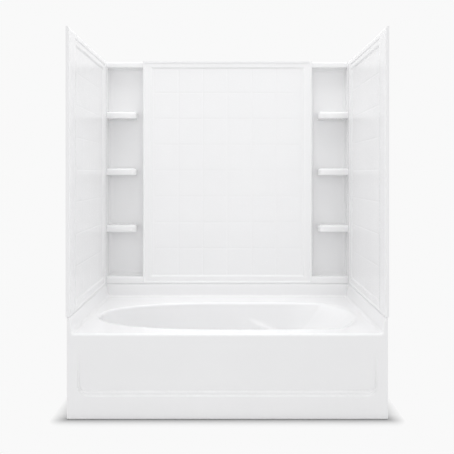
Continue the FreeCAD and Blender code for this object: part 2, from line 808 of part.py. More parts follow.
def drain():
    """Strainer, its grid and screw, the gasket under the basin floor and the shoe below it."""
    flange = "(drain_hole + strainer_rim)"
    barrel = "(drain_hole - slip_gap)"
    throat = "(drain_hole - strainer_wall)"
    rebate = "(drain_hole - grid_rebate)"
    low = "(%s - strainer_depth)" % UNDER
    body = turned("strainer_body", [
        (throat, "basin_floor + grid_seat"),
        (rebate, "basin_floor + grid_seat"),
        (rebate, "basin_floor + strainer_rise"),
        (barrel, "basin_floor + strainer_rise"),
        (flange, "basin_floor + strainer_edge"),
        (flange, "basin_floor"),
        (barrel, "basin_floor"),
        (barrel, low),
        (throat, low),
    ], DRAIN_X, BASIN_Y)
    bar_low = UNDER + " - bar_drop"
    bar_half = "(%s + strainer_wall / 2)" % throat
    bar = box("strainer_bar", "%s - %s" % (DRAIN_X, bar_half), BASIN_Y + " - bar_size / 2", bar_low,
              "2 * " + bar_half, "bar_size", "bar_size")
    boss = rod("strainer_boss", "boss_radius", "bar_size", DRAIN_X, BASIN_Y, bar_low)
    tapping = rod("strainer_tapping", "screw_radius", "2 * bar_size", DRAIN_X, BASIN_Y,
                  bar_low + " - bar_size / 2")
    node(cut("strainer", fuse("strainer_sum", body, bar, boss), tapping), "drain_strainer")

    disc = rod("grid_disc", rebate + " - slip_gap", "grid_sheet", DRAIN_X, BASIN_Y, "basin_floor + grid_seat")
    through = ("3 * grid_sheet", "basin_floor + grid_seat - grid_sheet")
    holes = [rod("grid_centre", "screw_radius", through[0], DRAIN_X, BASIN_Y, through[1])]
    for i in range(GRID_HOLES):
        turn = "%d * 360 / %d" % (i, GRID_HOLES)
        x = "%s + grid_circle * cos(%s)" % (DRAIN_X, turn)
        y = "%s + grid_circle * sin(%s)" % (BASIN_Y, turn)
        holes.append(rod("grid_hole_%d" % (i + 1), "grid_hole", through[0], x, y, through[1]))
    node(cut("grid", disc, *holes), "strainer_grid")
    seat = "(basin_floor + grid_seat + grid_sheet)"
    screw = turned("grid_screw_body", screw_profile(bar_low, seat), DRAIN_X, BASIN_Y)
    node(screw, "grid_screw")
    washer = ring("drain_hole", "shoe_rim", UNDER + " - gasket_height", UNDER)
    node(turned("shoe_gasket_ring", washer, DRAIN_X, BASIN_Y), "shoe_gasket")

    top = "(%s - gasket_height)" % UNDER
    base = "(waste_height - %s)" % HUB
    cup = turned("shoe_cup", [
        ("0", base),
        (HUB + " - shoe_chamfer", base),
        ("drain_hole + socket_wall", base + " + shoe_chamfer"),
        ("drain_hole + socket_wall", top + " - flange_sheet"),
        ("shoe_rim", top + " - flange_sheet"),
        ("shoe_rim", top),
        ("0", top),
    ], DRAIN_X, BASIN_Y)
    arm = rod("shoe_arm", HUB, "socket_depth + " + HUB, SHOE_END, BASIN_Y, "waste_height", "X")
    thread = rod("shoe_thread", "drain_hole", "%s - %s + 2 * socket_wall" % (top, low), DRAIN_X, BASIN_Y,
                 low + " - socket_wall")
    sump_low = "(waste_height - %s)" % BORE
    sump = rod("shoe_sump", throat, "%s - %s" % (low, sump_low), DRAIN_X, BASIN_Y, sump_low)
    bore = rod("shoe_bore", BORE, "socket_depth + " + HUB, SHOE_END, BASIN_Y, "waste_height", "X")
    socket = rod("shoe_socket", SOCKET, "socket_depth", SHOE_END, BASIN_Y, "waste_height", "X")
    node(cut("shoe", fuse("shoe_sum", cup, arm), thread, sump, bore, socket), "drain_shoe")


def screw_profile(low, seat):
    """A small round-headed screw from its tip to the seat of its head."""
    return [
        ("0", low),
        ("screw_radius", low),
        ("screw_radius", seat),
        ("head_radius", seat),
        ("head_crown", seat + " + 0.8 * head_height"),
        ("0", seat + " + head_height"),
    ]


def waste():
    """Shoe tube, tee with the plunger's seat, and the tail piece that the house's drain takes."""
    length = "%s - %s + 2 * socket_depth" % (SHOE_END, TEE_END)
    tube = turned("shoe_pipe", ring(BORE, "pipe_radius", "0", length),
                  TEE_END + " - socket_depth", BASIN_Y, "waste_height", "X")
    node(tube, "shoe_tube")
    low = "(waste_height - %s - tee_foot)" % HUB
    shoulder = "(seat_height - seat_ledge)"
    column = rod("tee_column", HUB, "%s - %s" % (TEE_TOP, low), RISER_X, BASIN_Y, low)
    branch = rod("tee_branch", HUB, "socket_depth + " + HUB, RISER_X, BASIN_Y, "waste_height", "X")
    run = rod("tee_run", BORE, "%s - seat_height" % TEE_TOP, RISER_X, BASIN_Y, "seat_height")
    seat = rod("tee_seat", "plunger_radius - plunger_wall", TEE_TOP, RISER_X, BASIN_Y, "0")
    head = rod("tee_head", SOCKET, "socket_depth", RISER_X, BASIN_Y, TEE_TOP + " - socket_depth")
    foot = rod("tee_foot_socket", SOCKET, shoulder, RISER_X, BASIN_Y, "0")
    side = rod("tee_side", BORE, "socket_depth + " + HUB, RISER_X, BASIN_Y, "waste_height", "X")
    socket = rod("tee_socket", SOCKET, "socket_depth", TEE_END + " - socket_depth", BASIN_Y,
                 "waste_height", "X")
    node(cut("tee", fuse("tee_sum", column, branch), run, seat, head, foot, side, socket), "waste_tee")
    neck = "(%s - tail_clear)" % low
    tail = turned("tail_pipe", [
        (BORE, "tail_low"),
        ("pipe_radius", "tail_low"),
        ("pipe_radius", neck),
        ("pipe_radius - slip_gap", neck),
        ("pipe_radius - slip_gap", shoulder),
        (BORE, shoulder),
    ], RISER_X, BASIN_Y)
    node(tail, "tail_piece")
    riser = ring(BORE, "pipe_radius", TEE_TOP + " - socket_depth", ELBOW_LOW + " + socket_depth")
    node(turned("riser_pipe", riser, RISER_X, BASIN_Y), "overflow_pipe")
    slip_nuts()


def slip_nuts():
    """Eight-sided nuts against the ends of the four sockets."""
    seats = [
        ("shoe", SHOE_END + " - nut_length", "waste_height", "X"),
        ("branch", TEE_END, "waste_height", "X"),
        ("head", RISER_X, TEE_TOP, "Z"),
        ("elbow", RISER_X, ELBOW_LOW + " - nut_length", "Z"),
    ]
    nuts = []
    for name, x, z, axis in seats:
        blank = new_body(name + "_nut_blank")
        corners = []
        for i in range(NUT_SIDES):
            turn = "(360 * (%d + 0.5) / %d)" % (i, NUT_SIDES)
            corners.append(("nut_radius * cos(%s)" % turn, "nut_radius * sin(%s)" % turn))
        pad(blank, outline(blank, "XY_Plane", [corners]), "nut_length")
        blank.Placement = Placement(Vector(), AXES[axis])
        place(blank, x, BASIN_Y, z)
        bore = rod(name + "_nut_bore", SOCKET, "nut_length", x, BASIN_Y, z, axis)
        nuts.append(cut(name + "_nut", blank, bore))
    node(group("nut_set", nuts), "slip_nuts")


LUGS = (-1, 1)
LUG_Y = "(overflow_hole - lug_inset)"


def overflow():
    """Elbow behind the bath, its bevelled gasket, and the face plate with two screws inside the bath."""
    back = "(-riser_from_centre - elbow_back)"
    drum_length = "%s - %s" % (ELBOW_FACE, back)
    room_radius = "(overflow_hole - slip_gap)"
    drum = rod("elbow_drum", room_radius + " + socket_wall", drum_length, back, BASIN_Y, OVERFLOW_Z, "X")
    rim = rod("elbow_flange", "flange_radius", "flange_sheet", ELBOW_FACE + " - flange_sheet", BASIN_Y,
              OVERFLOW_Z, "X")
    leg = rod("elbow_leg", HUB, "%s - %s" % (OVERFLOW_Z, ELBOW_LOW), RISER_X, BASIN_Y, ELBOW_LOW)
    room = rod("elbow_room", room_radius, drum_length, back + " + socket_wall", BASIN_Y, OVERFLOW_Z, "X")
    bore = rod("elbow_bore", BORE, "%s - %s" % (OVERFLOW_Z, ELBOW_LOW), RISER_X, BASIN_Y, ELBOW_LOW)
    socket = rod("elbow_socket", SOCKET, "socket_depth", RISER_X, BASIN_Y, ELBOW_LOW)
    hollow = cut("elbow_hollow", fuse("elbow_sum", drum, rim, leg), room, bore, socket)
    lugs = []
    taps = []
    heads = []
    stand = "(plate_sheet + screw_stand) / cos(facet_lean)"
    for side in LUGS:
        y = "%s + %d * %s" % (BASIN_Y, side, LUG_Y)
        name = "left" if side < 0 else "right"
        lugs.append(rod(name + "_lug", "lug_radius", "lug_length", ELBOW_FACE + " - lug_length",
                        y, OVERFLOW_Z, "X"))
        taps.append(rod(name + "_tap", "screw_radius", "2 * lug_length", ELBOW_FACE + " - 1.5 * lug_length",
                        y, OVERFLOW_Z, "X"))
        profile = screw_profile("-0.9 * lug_length", "(%s + %s - %s)" % (FACET_X, stand, ELBOW_FACE))
        heads.append(turned(name + "_plate_screw", profile, ELBOW_FACE, y, OVERFLOW_Z, "X"))
    node(cut("elbow", fuse("elbow_with_lugs", hollow, *lugs), *taps), "overflow_elbow")
    node(group("plate_screw_pair", heads), "plate_screws")

    wedge = doc.addObject("Part::Feature", "gasket_wedge")
    centre = Vector(value(ELBOW_FACE), value(BASIN_Y), value(OVERFLOW_Z))
    along = Vector(1, 0, 0)
    reach = 2 * value("flange_radius")
    disc = Part.makeCylinder(value("flange_radius"), reach, centre, along)
    hole = Part.makeCylinder(value("overflow_hole"), reach, centre, along)
    wedge.Shape = disc.cut(hole).cut(beyond_facet(value("shell_wall"), 1))
    node(wedge, "overflow_gasket")

    plate = turned("plate_disc", [
        ("0", "0"),
        ("plate_radius", "0"),
        ("plate_radius", "plate_sheet / 2"),
        ("plate_radius - plate_bevel", "plate_sheet"),
        ("0", "plate_sheet"),
    ])
    slot = box("plate_slot", "-slot_above", "-lever_sheet / 2 - fork_gap", "-plate_sheet",
               "slot_above + slot_below", "lever_sheet + 2 * fork_gap", "3 * plate_sheet")
    holes = []
    for i, side in enumerate(LUGS):
        holes.append(rod("plate_hole_%d" % (i + 1), "screw_radius + 3 * slip_gap", "3 * plate_sheet", "0",
                         "%d * %s" % (side, LUG_Y), "-plate_sheet"))
    node(on_facet(cut("plate", plate, slot, *holes)), "overflow_plate")


def on_facet(item):
    """Set a piece, drawn flat at the origin, on the basin's overflow facet."""
    item.Placement = Placement(Vector(), Rotation(Vector(0, 1, 0), 90))
    bind(item, **{"Placement.Rotation.Angle": "90 - facet_lean"})
    return place(item, FACET_X, BASIN_Y, OVERFLOW_Z)


FORK = "(lever_sheet / 2 + fork_gap)"
FORK_OUT = "(lever_sheet / 2 + fork_gap + fork_sheet)"


def trip_lever():
    """Bracket and pin behind the plate, and the lever that they carry, drawn with the waste open."""
    low = "(pivot_depth + ear_drop)"
    above = "(ear_half + bridge_width)"
    ears = []
    for side in (-1, 1):
        y = FORK if side > 0 else "-" + FORK_OUT
        foot = FORK if side > 0 else "-%s - foot_width" % FORK
        ears.append(box("ear_%d" % (side + 2), "-ear_half", y, "-" + low, "2 * ear_half", "fork_sheet", low))
        ears.append(box("ear_foot_%d" % (side + 2), "-" + above, foot, "-fork_sheet",
                        "ear_half + " + above, "foot_width", "fork_sheet"))
    ears.append(box("ear_bridge", "-" + above, "-" + FORK_OUT, "-fork_sheet",
                    "bridge_width", "2 * " + FORK_OUT, "fork_sheet"))
    eye = rod("ear_eye", "pin_radius", "4 * " + FORK_OUT, "0", "-2 * " + FORK_OUT, "-pivot_depth", "Y")
    node(on_facet(cut("bracket", fuse("bracket_sum", *ears), eye)), "lever_bracket")
    pin = rod("lever_pivot", "pin_radius", "2 * " + FORK_OUT, PIVOT_X, "%s - %s" % (BASIN_Y, FORK_OUT),
              PIVOT_Z, "Y")
    node(pin, "lever_pin")

    side = "-lever_sheet / 2"
    arm = box("lever_bar", "-" + ARM, side, "-lever_half", ARM + " + lever_handle", "lever_sheet",
              "2 * lever_half")
    hub = rod("lever_hub_disc", "lever_hub", "lever_sheet", "0", side, "0", "Y")
    knob = rod("lever_knob_disc", "lever_knob", "lever_sheet", "lever_handle", side, "0", "Y")
    end = rod("lever_end_disc", "lever_end", "lever_sheet", "-" + ARM, side, "0", "Y")
    eye = rod("lever_eye", "pin_radius + pin_fit", "lever_sheet", "0", side, "0", "Y")
    slot = box("lever_slot", "-%s - slot_half" % ARM, side, "-link_radius - link_play", "2 * slot_half",
               "lever_sheet", "2 * (link_radius + link_play)")
    lever = cut("lever", fuse("lever_sum", arm, hub, knob, end), eye, slot)
    lever.Placement = Placement(Vector(), Rotation(Vector(0, 1, 0), 1))
    bind(lever, **{"Placement.Rotation.Angle": "lever_swing / 2"})
    node(place(lever, PIVOT_X, BASIN_Y, PIVOT_Z), "trip_lever")


def plunger():
    """The link that hangs in the lever's slot, and the hollow plunger on its lower end."""
    yoke = "(%s - yoke_drop)" % LINK_Z
    top = "(%s + plunger_height)" % PLUNGER_LOW
    left = RISER_X + " - yoke_half"
    front = "%s - %s" % (BASIN_Y, FORK_OUT)
    pieces = [box("yoke_base_plate", left, front, yoke, "2 * yoke_half", "2 * " + FORK_OUT, "yoke_base")]
    for side in (-1, 1):
        y = "%s + %s" % (BASIN_Y, FORK) if side > 0 else front
        pieces.append(box("yoke_cheek_%d" % (side + 2), left, y, yoke, "2 * yoke_half", "fork_sheet",
                          "yoke_drop + cheek_rise"))
    pieces.append(rod("yoke_pin", "link_radius", "2 * " + FORK_OUT, RISER_X, front, LINK_Z, "Y"))
    pieces.append(rod("link_stem", "rod_radius", "%s - %s" % (yoke, top), RISER_X, BASIN_Y, top))
    node(fuse("link", *pieces), "linkage_rod")
    sleeve = ring("plunger_radius - plunger_wall", "plunger_radius", PLUNGER_LOW, top)
    half = "(plunger_radius - plunger_wall / 2)"
    bar = box("plunger_cross_bar", "%s - %s" % (RISER_X, half), BASIN_Y + " - plunger_bar / 2",
              top + " - plunger_bar", "2 * " + half, "plunger_bar", "plunger_bar")
    node(fuse("plunger_sum", turned("plunger_sleeve", sleeve, RISER_X, BASIN_Y), bar), "plunger")


for maker in (bath_shell, back_wall):
    maker()
left = left_end_wall()
node(mirrored("right_end_moulding", left), "right_end_wall")
ledge_seals()
corner_joint()
base()
drain()
waste()
overflow()
trip_lever()
plunger()
doc.recompute()
print("lever pivot at x %.3f z %.3f, stroke %.4f" % (value(PIVOT_X), value(PIVOT_Z), value(STROKE)))

for item in doc.Objects:
    if "Invalid" in item.State or "Error" in item.State:
        raise RuntimeError("%s did not build: %s" % (item.Label, item.State))
for item in NODES:
    if item.Shape.isNull() or not item.Shape.isValid():
        raise RuntimeError("%s has no valid shape" % item.Label)

os.makedirs("parts", exist_ok=True)
for item in NODES:
    item.Shape.exportStep("parts/%s.step" % item.Label)
    box_size = item.Shape.BoundBox
    print("%-20s %2d solids %12.0f mm3  x %8.1f %8.1f  y %8.1f %8.1f  z %8.1f %8.1f" % (
        item.Label, len(item.Shape.Solids), item.Shape.Volume, box_size.XMin, box_size.XMax,
        box_size.YMin, box_size.YMax, box_size.ZMin, box_size.ZMax))
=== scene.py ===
# %% [markdown]
# # A white tub and shower unit
# The unit is four large mouldings: a bath with its apron, a back wall and two end walls. The imported CAD model
# is the frame that all looks are built round, so it is loaded first.

# %% Load the frame
import json
import math

import bmesh
import bpy
from mathutils import Matrix, Vector


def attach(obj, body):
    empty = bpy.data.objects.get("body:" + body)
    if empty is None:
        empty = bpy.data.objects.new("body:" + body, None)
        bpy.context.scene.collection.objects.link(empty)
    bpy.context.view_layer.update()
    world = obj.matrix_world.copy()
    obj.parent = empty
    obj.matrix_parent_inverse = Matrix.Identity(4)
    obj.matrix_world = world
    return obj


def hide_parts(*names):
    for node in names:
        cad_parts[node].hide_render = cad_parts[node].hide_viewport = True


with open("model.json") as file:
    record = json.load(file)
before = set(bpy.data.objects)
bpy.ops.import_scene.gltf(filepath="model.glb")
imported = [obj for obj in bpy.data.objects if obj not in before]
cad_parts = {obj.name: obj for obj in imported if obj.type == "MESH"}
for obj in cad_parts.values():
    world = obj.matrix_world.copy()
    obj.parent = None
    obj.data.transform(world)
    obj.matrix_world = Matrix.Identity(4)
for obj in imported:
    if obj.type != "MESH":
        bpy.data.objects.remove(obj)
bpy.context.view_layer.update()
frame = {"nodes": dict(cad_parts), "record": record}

# %% [markdown]
# ## Camera
# The photograph looks level and straight at the apron from about chest height, with upright lines upright.
# That is a camera with no tilt, and a lens shift puts the unit in the frame. The distance comes from how
# much smaller the back panel looks than the apron.

# %% Camera
EYE = (0.0, -3.098, 1.162)
view = bpy.data.cameras.new("catalogue_view")
view.sensor_width = 36.0
view.lens = 44.13
view.shift_x = -0.0009
view.shift_y = -0.1152
camera = bpy.data.objects.new("catalogue_view", view)
camera.location = EYE
camera.rotation_euler = (math.radians(90), 0, 0)
bpy.context.scene.collection.objects.link(camera)
bpy.context.scene.camera = camera
print("camera at", EYE, "lens", view.lens)

# %% [markdown]
# ## Sky
# White on white is drawn by soft shade alone, and a bright dome gives it the plain level. To the camera and in
# reflections the sky is white paper instead, so the dome can be set for the object alone.

# %% Sky
PAPER = (0.947, 0.947, 0.947, 1)
DOME_COLOUR, DOME_LEVEL = (0.994, 0.994, 1.0, 1), 0.77
scene = bpy.context.scene
scene.view_settings.view_transform = "Standard"


def link(tree, a, b):
    tree.links.new(a, b)


def add(tree, kind, inputs=None, **settings):
    """A new node with its settings, and with inputs that are set to a value or linked to a socket."""
    item = tree.nodes.new(kind)
    for name, value in settings.items():
        setattr(item, name, value)
    for label, value in (inputs or {}).items():
        if isinstance(value, bpy.types.NodeSocket):
            link(tree, value, item.inputs[label])
        else:
            item.inputs[label].default_value = value
    return item


def calc(tree, operation, *values, clamp=False):
    """The result of a Math node on numbers or sockets."""
    item = add(tree, "ShaderNodeMath", dict(enumerate(values)), operation=operation, use_clamp=clamp)
    return item.outputs[0]


def seen_directly(tree):
    """One where the surface is seen by the camera, in a reflection or through glass."""
    path = add(tree, "ShaderNodeLightPath").outputs
    first = calc(tree, "MAXIMUM", path["Is Camera Ray"], path["Is Glossy Ray"])
    return calc(tree, "MAXIMUM", first, path["Is Transmission Ray"])


def mixed_shaders(tree, amount, first, second):
    return add(tree, "ShaderNodeMixShader", {0: amount, 1: first, 2: second}).outputs[0]


world = bpy.data.worlds.new("white_room")
world.use_nodes = True
scene.world = world
sky = world.node_tree
dome = sky.nodes["Background"]
dome.inputs["Color"].default_value = DOME_COLOUR
dome.inputs["Strength"].default_value = DOME_LEVEL
paper = add(sky, "ShaderNodeBackground", {"Color": PAPER})
chosen = mixed_shaders(sky, seen_directly(sky), dome.outputs[0], paper.outputs[0])
link(sky, chosen, sky.nodes["World Output"].inputs["Surface"])
print("sky: dome at", DOME_LEVEL, "and paper at", PAPER[0])

# %% [markdown]
# ## Lamps
# A wide lamp high above makes the deck lighter than the apron and the shelves dark underneath, and a weak one
# in front lifts the apron. Gloss shows only where there is something to mirror, so a narrow strip lamp, which
# gives no other light, draws the bright lines on the apron's bead.

# %% Lamps


def soft_lamp(name, place, aim, size, watts):
    lamp = bpy.data.lights.new(name, "AREA")
    lamp.shape = "RECTANGLE"
    lamp.size, lamp.size_y = size
    lamp.energy = watts
    item = bpy.data.objects.new(name, lamp)
    item.location = place
    item.rotation_euler = (Vector(aim) - Vector(place)).to_track_quat("-Z", "Y").to_euler()
    scene.collection.objects.link(item)
    return item


over = soft_lamp("over_softbox", place=(0, -0.1, 4.4), aim=(0, -0.1, 0.6), size=(3.0, 2.0), watts=69)
over.visible_glossy = False
front = soft_lamp("front_softbox", place=(0, -4.6, 1.5), aim=(0, 0.2, 1.0), size=(3.5, 2.5), watts=16)
strip = soft_lamp("strip_softbox", place=(0, -1.5, 3.3), aim=(0, -0.457, 0.2), size=(2.4, 0.4), watts=6)
strip.visible_diffuse = False
print("lamps:", over.name, front.name, strip.name)

# %% [markdown]
# ## Floor
# The floor looks like white paper too, so that no horizon shows. Beside the unit it shows its own shading. Along
# the apron's foot, a painted shadow darkens its colour as the camera and reflections see it, which keeps the dark
# line where the apron meets the floor. A hand's width away it has faded to paper.

# %% Floor
REACH, FLOOR_LEVEL = 12, -0.0008
UNIT_HALF_X, UNIT_HALF_Y = 0.762, 0.457
# The painted shadow's width and tone: the floor's colour is darker along the apron's foot, in place of its
# shadow.
PAINTED_SHADOW_WIDTH, FADE_WIDTH = 0.06, 0.08
PALE_TONE, PAINTED_SHADOW_TONE = (0.78, 0.78, 0.78, 1), (0.42, 0.42, 0.42, 1)
floor_mesh = bpy.data.meshes.new("floor")
corners = [(x * REACH, y * REACH, FLOOR_LEVEL) for x, y in ((-1, -1), (1, -1), (1, 1), (-1, 1))]
floor_mesh.from_pydata(corners, [], [(0, 1, 2, 3)])
floor = bpy.data.objects.new("floor", floor_mesh)
scene.collection.objects.link(floor)
pale = bpy.data.materials.new("pale_floor")
pale.use_nodes = True
tree = pale.node_tree
shade = tree.nodes["Principled BSDF"]
shade.inputs["Roughness"].default_value = 0.9
shade.inputs["Specular IOR Level"].default_value = 0.0
place = add(tree, "ShaderNodeTexCoord").outputs["Object"]
# Painted shadow: as the camera and reflections see it, the floor's colour darkens towards the apron's foot line.
painted_shadow_mask = add(tree, "ShaderNodeSeparateXYZ", {"Vector": place}).outputs["Y"]
for operation, amount in (("ADD", UNIT_HALF_Y), ("ABSOLUTE", 0), ("DIVIDE", -PAINTED_SHADOW_WIDTH), ("ADD", 1),
                          ("MAXIMUM", 0)):
    painted_shadow_mask = calc(tree, operation, painted_shadow_mask, amount)
painted_shadow_share = calc(tree, "MULTIPLY", seen_directly(tree), painted_shadow_mask)
tone = add(tree, "ShaderNodeMix", {"Factor": painted_shadow_share, "A": PALE_TONE, "B": PAINTED_SHADOW_TONE}, data_type="RGBA")
link(tree, tone.outputs["Result"], shade.inputs["Base Color"])
ZERO = (0, 0, 0)
for operation, amount in (("ABSOLUTE", ZERO), ("SUBTRACT", (UNIT_HALF_X, UNIT_HALF_Y, 0)), ("MAXIMUM", ZERO)):
    place = add(tree, "ShaderNodeVectorMath", {0: place, 1: amount}, operation=operation).outputs["Vector"]
away = add(tree, "ShaderNodeVectorMath", {0: place}, operation="LENGTH").outputs["Value"]
fade = add(tree, "ShaderNodeMapRange", {"Value": away, "From Max": FADE_WIDTH}).outputs["Result"]
glow = add(tree, "ShaderNodeEmission", {"Color": PAPER})
share = calc(tree, "MULTIPLY", seen_directly(tree), fade)
faded = mixed_shaders(tree, share, shade.outputs[0], glow.outputs[0])
link(tree, faded, tree.nodes["Material Output"].inputs["Surface"])
floor_mesh.materials.append(pale)
print("floor: fades to paper within", FADE_WIDTH, "m")

# %% [markdown]
# ## Shared finishes
# Every real surface has a little unevenness: moulded resin has the faint ripple that painters call orange
# peel, metal has polishing lines, zinc has a cloudy bloom, rubber and foam have pores, timber has rings and
# fibre. Small node groups make these once, and each material places one with its own values. They read
# object coordinates, because the pieces are drawn where they stand.

# %% Parts of a finish
NOISE_LOW, NOISE_HIGH = 0.3, 0.7
SOCKETS = (("Smooth", "INPUT", "Float"), ("Rough", "INPUT", "Float"), ("Light", "INPUT", "Color"),
           ("Deep", "INPUT", "Color"), ("Color", "OUTPUT", "Color"), ("Roughness", "OUTPUT", "Float"),
           ("Height", "OUTPUT", "Float"))


def finish_group(name):
    """An empty group: its tree, what it is given, what it puts out, and the object coordinates."""
    tree = bpy.data.node_groups.new(name, "ShaderNodeTree")
    for label, way, kind in SOCKETS:
        tree.interface.new_socket(label, in_out=way, socket_type="NodeSocket" + kind)
    given, out = add(tree, "NodeGroupInput").outputs, add(tree, "NodeGroupOutput").inputs
    return tree, given, out, add(tree, "ShaderNodeTexCoord").outputs["Object"]


def stretched(tree, place, scale):
    return add(tree, "ShaderNodeMapping", {"Vector": place, "Scale": scale}).outputs["Vector"]


def add_noise(tree, place, scale, detail):
    return add(tree, "ShaderNodeTexNoise", {"Vector": place, "Scale": scale, "Detail": detail}).outputs["Fac"]


def spread(tree, source, low, high):
    """Map a noise of about 0.3 to 0.7 onto the values from low to high, which are numbers or sockets."""
    ends = {"From Min": NOISE_LOW, "From Max": NOISE_HIGH, "To Min": low, "To Max": high}
    return add(tree, "ShaderNodeMapRange", {"Value": source, **ends}).outputs["Result"]


def finished(tree, given, out, depth, fine):
    """Fill a group's results: a colour from light to deep, and roughness and height from a fine noise."""
    ends = {"A": given["Light"], "B": given["Deep"]}
    colour = add(tree, "ShaderNodeMix", {"Factor": depth, **ends}, data_type="RGBA")
    link(tree, colour.outputs["Result"], out["Color"])
    link(tree, spread(tree, fine, given["Smooth"], given["Rough"]), out["Roughness"])
    link(tree, fine, out["Height"])
    return tree


print("each finish has", [label for label, way, _ in SOCKETS if way == "INPUT"])

# %% [markdown]
# Skins of resin, metal, foam and rubber are alike in kind: a tone that drifts slowly and a fine unevenness, each
# at its own scale. Timber needs its own group. Its growth rings are bands drawn out along the board with fine
# fibre over them, and plywood also shows its plies at the edges.

# %% Shader groups
BROAD_DETAIL, FINE_DETAIL, FIBRE_DETAIL = 2.0, 4.0, 5.0
POLISH_STRETCH = (1.0, 1.0, 30.0)
FIBRE_SCALE, FIBRE_STRETCH, FIBRE_LEAST = 9.0, (1.0, 26.0, 26.0), 0.35
RING_SCALE, RING_WANDER, RING_DETAIL, RING_STRETCH = 9.0, 7.0, 2.5, (0.12, 1.0, 1.6)
PLY_SCALE, PLY_DEPTH = 44.0, 0.6


def surface_group(name, broad_scale, fine_scale, stretch=None):
    """A tone that drifts, a roughness that varies and a fine height, at two scales."""
    tree, given, out, place = finish_group(name)
    broad = add_noise(tree, place, broad_scale, BROAD_DETAIL)
    fine = add_noise(tree, stretched(tree, place, stretch) if stretch else place, fine_scale, FINE_DETAIL)
    return finished(tree, given, out, spread(tree, broad, 0.0, 1.0), fine)


def timber_group(name, plies):
    """Growth rings drawn out along X with fine fibre over them, and plies where they are asked for."""
    tree, given, out, place = finish_group(name)
    fibre = add_noise(tree, stretched(tree, place, FIBRE_STRETCH), FIBRE_SCALE, FIBRE_DETAIL)
    flow = stretched(tree, place, RING_STRETCH)
    rings = add(tree, "ShaderNodeTexWave", {"Vector": flow, "Scale": RING_SCALE, "Distortion": RING_WANDER,
                                            "Detail": RING_DETAIL}, bands_direction="Y")
    depth = calc(tree, "MULTIPLY", rings.outputs["Fac"], spread(tree, fibre, FIBRE_LEAST, 1.0))
    if plies:
        layers = add(tree, "ShaderNodeTexWave", {"Vector": place, "Scale": PLY_SCALE}, bands_direction="Z")
        depth = calc(tree, "MULTIPLY_ADD", layers.outputs["Fac"], PLY_DEPTH, depth, clamp=True)
    return finished(tree, given, out, depth, fibre)


moulded_skin = surface_group("moulded_skin", 3.0, 170.0)
polish_lines = surface_group("polish_lines", 25.0, 40.0, POLISH_STRETCH)
porous_skin = surface_group("porous_skin", 30.0, 900.0)
zinc_bloom = surface_group("zinc_bloom", 140.0, 420.0)
timber_grain = timber_group("timber_grain", False)
timber_plies = timber_group("timber_plies", True)
print("groups:", [g.name for g in bpy.data.node_groups])

# %% [markdown]
# A material is a Principled shader with one of those groups in front of it. The bump stays very low: at arm's
# length the gloss mouldings look smooth, and only the reflection at a shallow angle shows the ripple.

# %% Materials
COAT_ROUGHNESS = 0.06


def finish_material(name, group, light, deep, smooth, rough, bump, distance, metallic=0.0, coat=0.0):
    material = bpy.data.materials.new(name)
    material.use_nodes = True
    tree = material.node_tree
    shader = tree.nodes["Principled BSDF"]
    shader.inputs["Metallic"].default_value = metallic
    shader.inputs["Coat Weight"].default_value = coat
    shader.inputs["Coat Roughness"].default_value = COAT_ROUGHNESS
    values = {"Light": (*light, 1), "Deep": (*deep, 1), "Smooth": smooth, "Rough": rough}
    skin_node = add(tree, "ShaderNodeGroup", values, node_tree=group)
    height = {"Strength": bump, "Distance": distance, "Height": skin_node.outputs["Height"]}
    ripple = add(tree, "ShaderNodeBump", height)
    link(tree, skin_node.outputs["Color"], shader.inputs["Base Color"])
    link(tree, skin_node.outputs["Roughness"], shader.inputs["Roughness"])
    link(tree, ripple.outputs["Normal"], shader.inputs["Normal"])
    return material


bath_white = finish_material("bath_white", moulded_skin, (0.922, 0.922, 0.926), (0.910, 0.910, 0.914),
                             smooth=0.13, rough=0.19, bump=0.03, distance=0.0004, coat=0.3)
wall_white = finish_material("wall_white", moulded_skin, (0.926, 0.926, 0.930), (0.918, 0.918, 0.922),
                             smooth=0.20, rough=0.28, bump=0.02, distance=0.0004, coat=0.2)
seal_foam = finish_material("seal_foam", porous_skin, (0.76, 0.76, 0.77), (0.68, 0.68, 0.69),
                            smooth=0.7, rough=0.9, bump=0.3, distance=0.0006)
pipe_white = finish_material("pipe_white", moulded_skin, (0.80, 0.80, 0.78), (0.74, 0.74, 0.71),
                             smooth=0.34, rough=0.48, bump=0.08, distance=0.0005)
black_rubber = finish_material("black_rubber", porous_skin, (0.060, 0.060, 0.062), (0.035, 0.035, 0.036),
                               smooth=0.55, rough=0.75, bump=0.25, distance=0.0004)
chrome = finish_material("polished_chrome", polish_lines, (0.85, 0.86, 0.87), (0.76, 0.77, 0.79),
                         smooth=0.05, rough=0.13, bump=0.03, distance=0.0002, metallic=1.0)
brass = finish_material("drawn_brass", polish_lines, (0.74, 0.57, 0.28), (0.61, 0.44, 0.19),
                        smooth=0.20, rough=0.36, bump=0.06, distance=0.0002, metallic=1.0)
zinc = finish_material("zinc_plate", zinc_bloom, (0.68, 0.69, 0.70), (0.50, 0.51, 0.53),
                       smooth=0.28, rough=0.46, bump=0.08, distance=0.0003, metallic=1.0)
softwood = finish_material("softwood", timber_grain, (0.74, 0.57, 0.37), (0.55, 0.37, 0.20),
                           smooth=0.55, rough=0.75, bump=0.35, distance=0.0008)
plywood = finish_material("plywood", timber_plies, (0.72, 0.57, 0.39), (0.52, 0.37, 0.22),
                          smooth=0.55, rough=0.72, bump=0.30, distance=0.0006)
print("materials:", [m.name for m in bpy.data.materials if m.use_nodes])

# %% [markdown]
# ## Skins
# The mouldings are sheets: a face that shows and a thickness behind it. So each is drawn as rows of points on
# its face, joined into four-sided faces, and thickened backwards. Rows and columns are set close together
# where the face bends, and far apart where it is flat.

# %% Skin helpers
MM = 0.001
JOIN = 0.00005


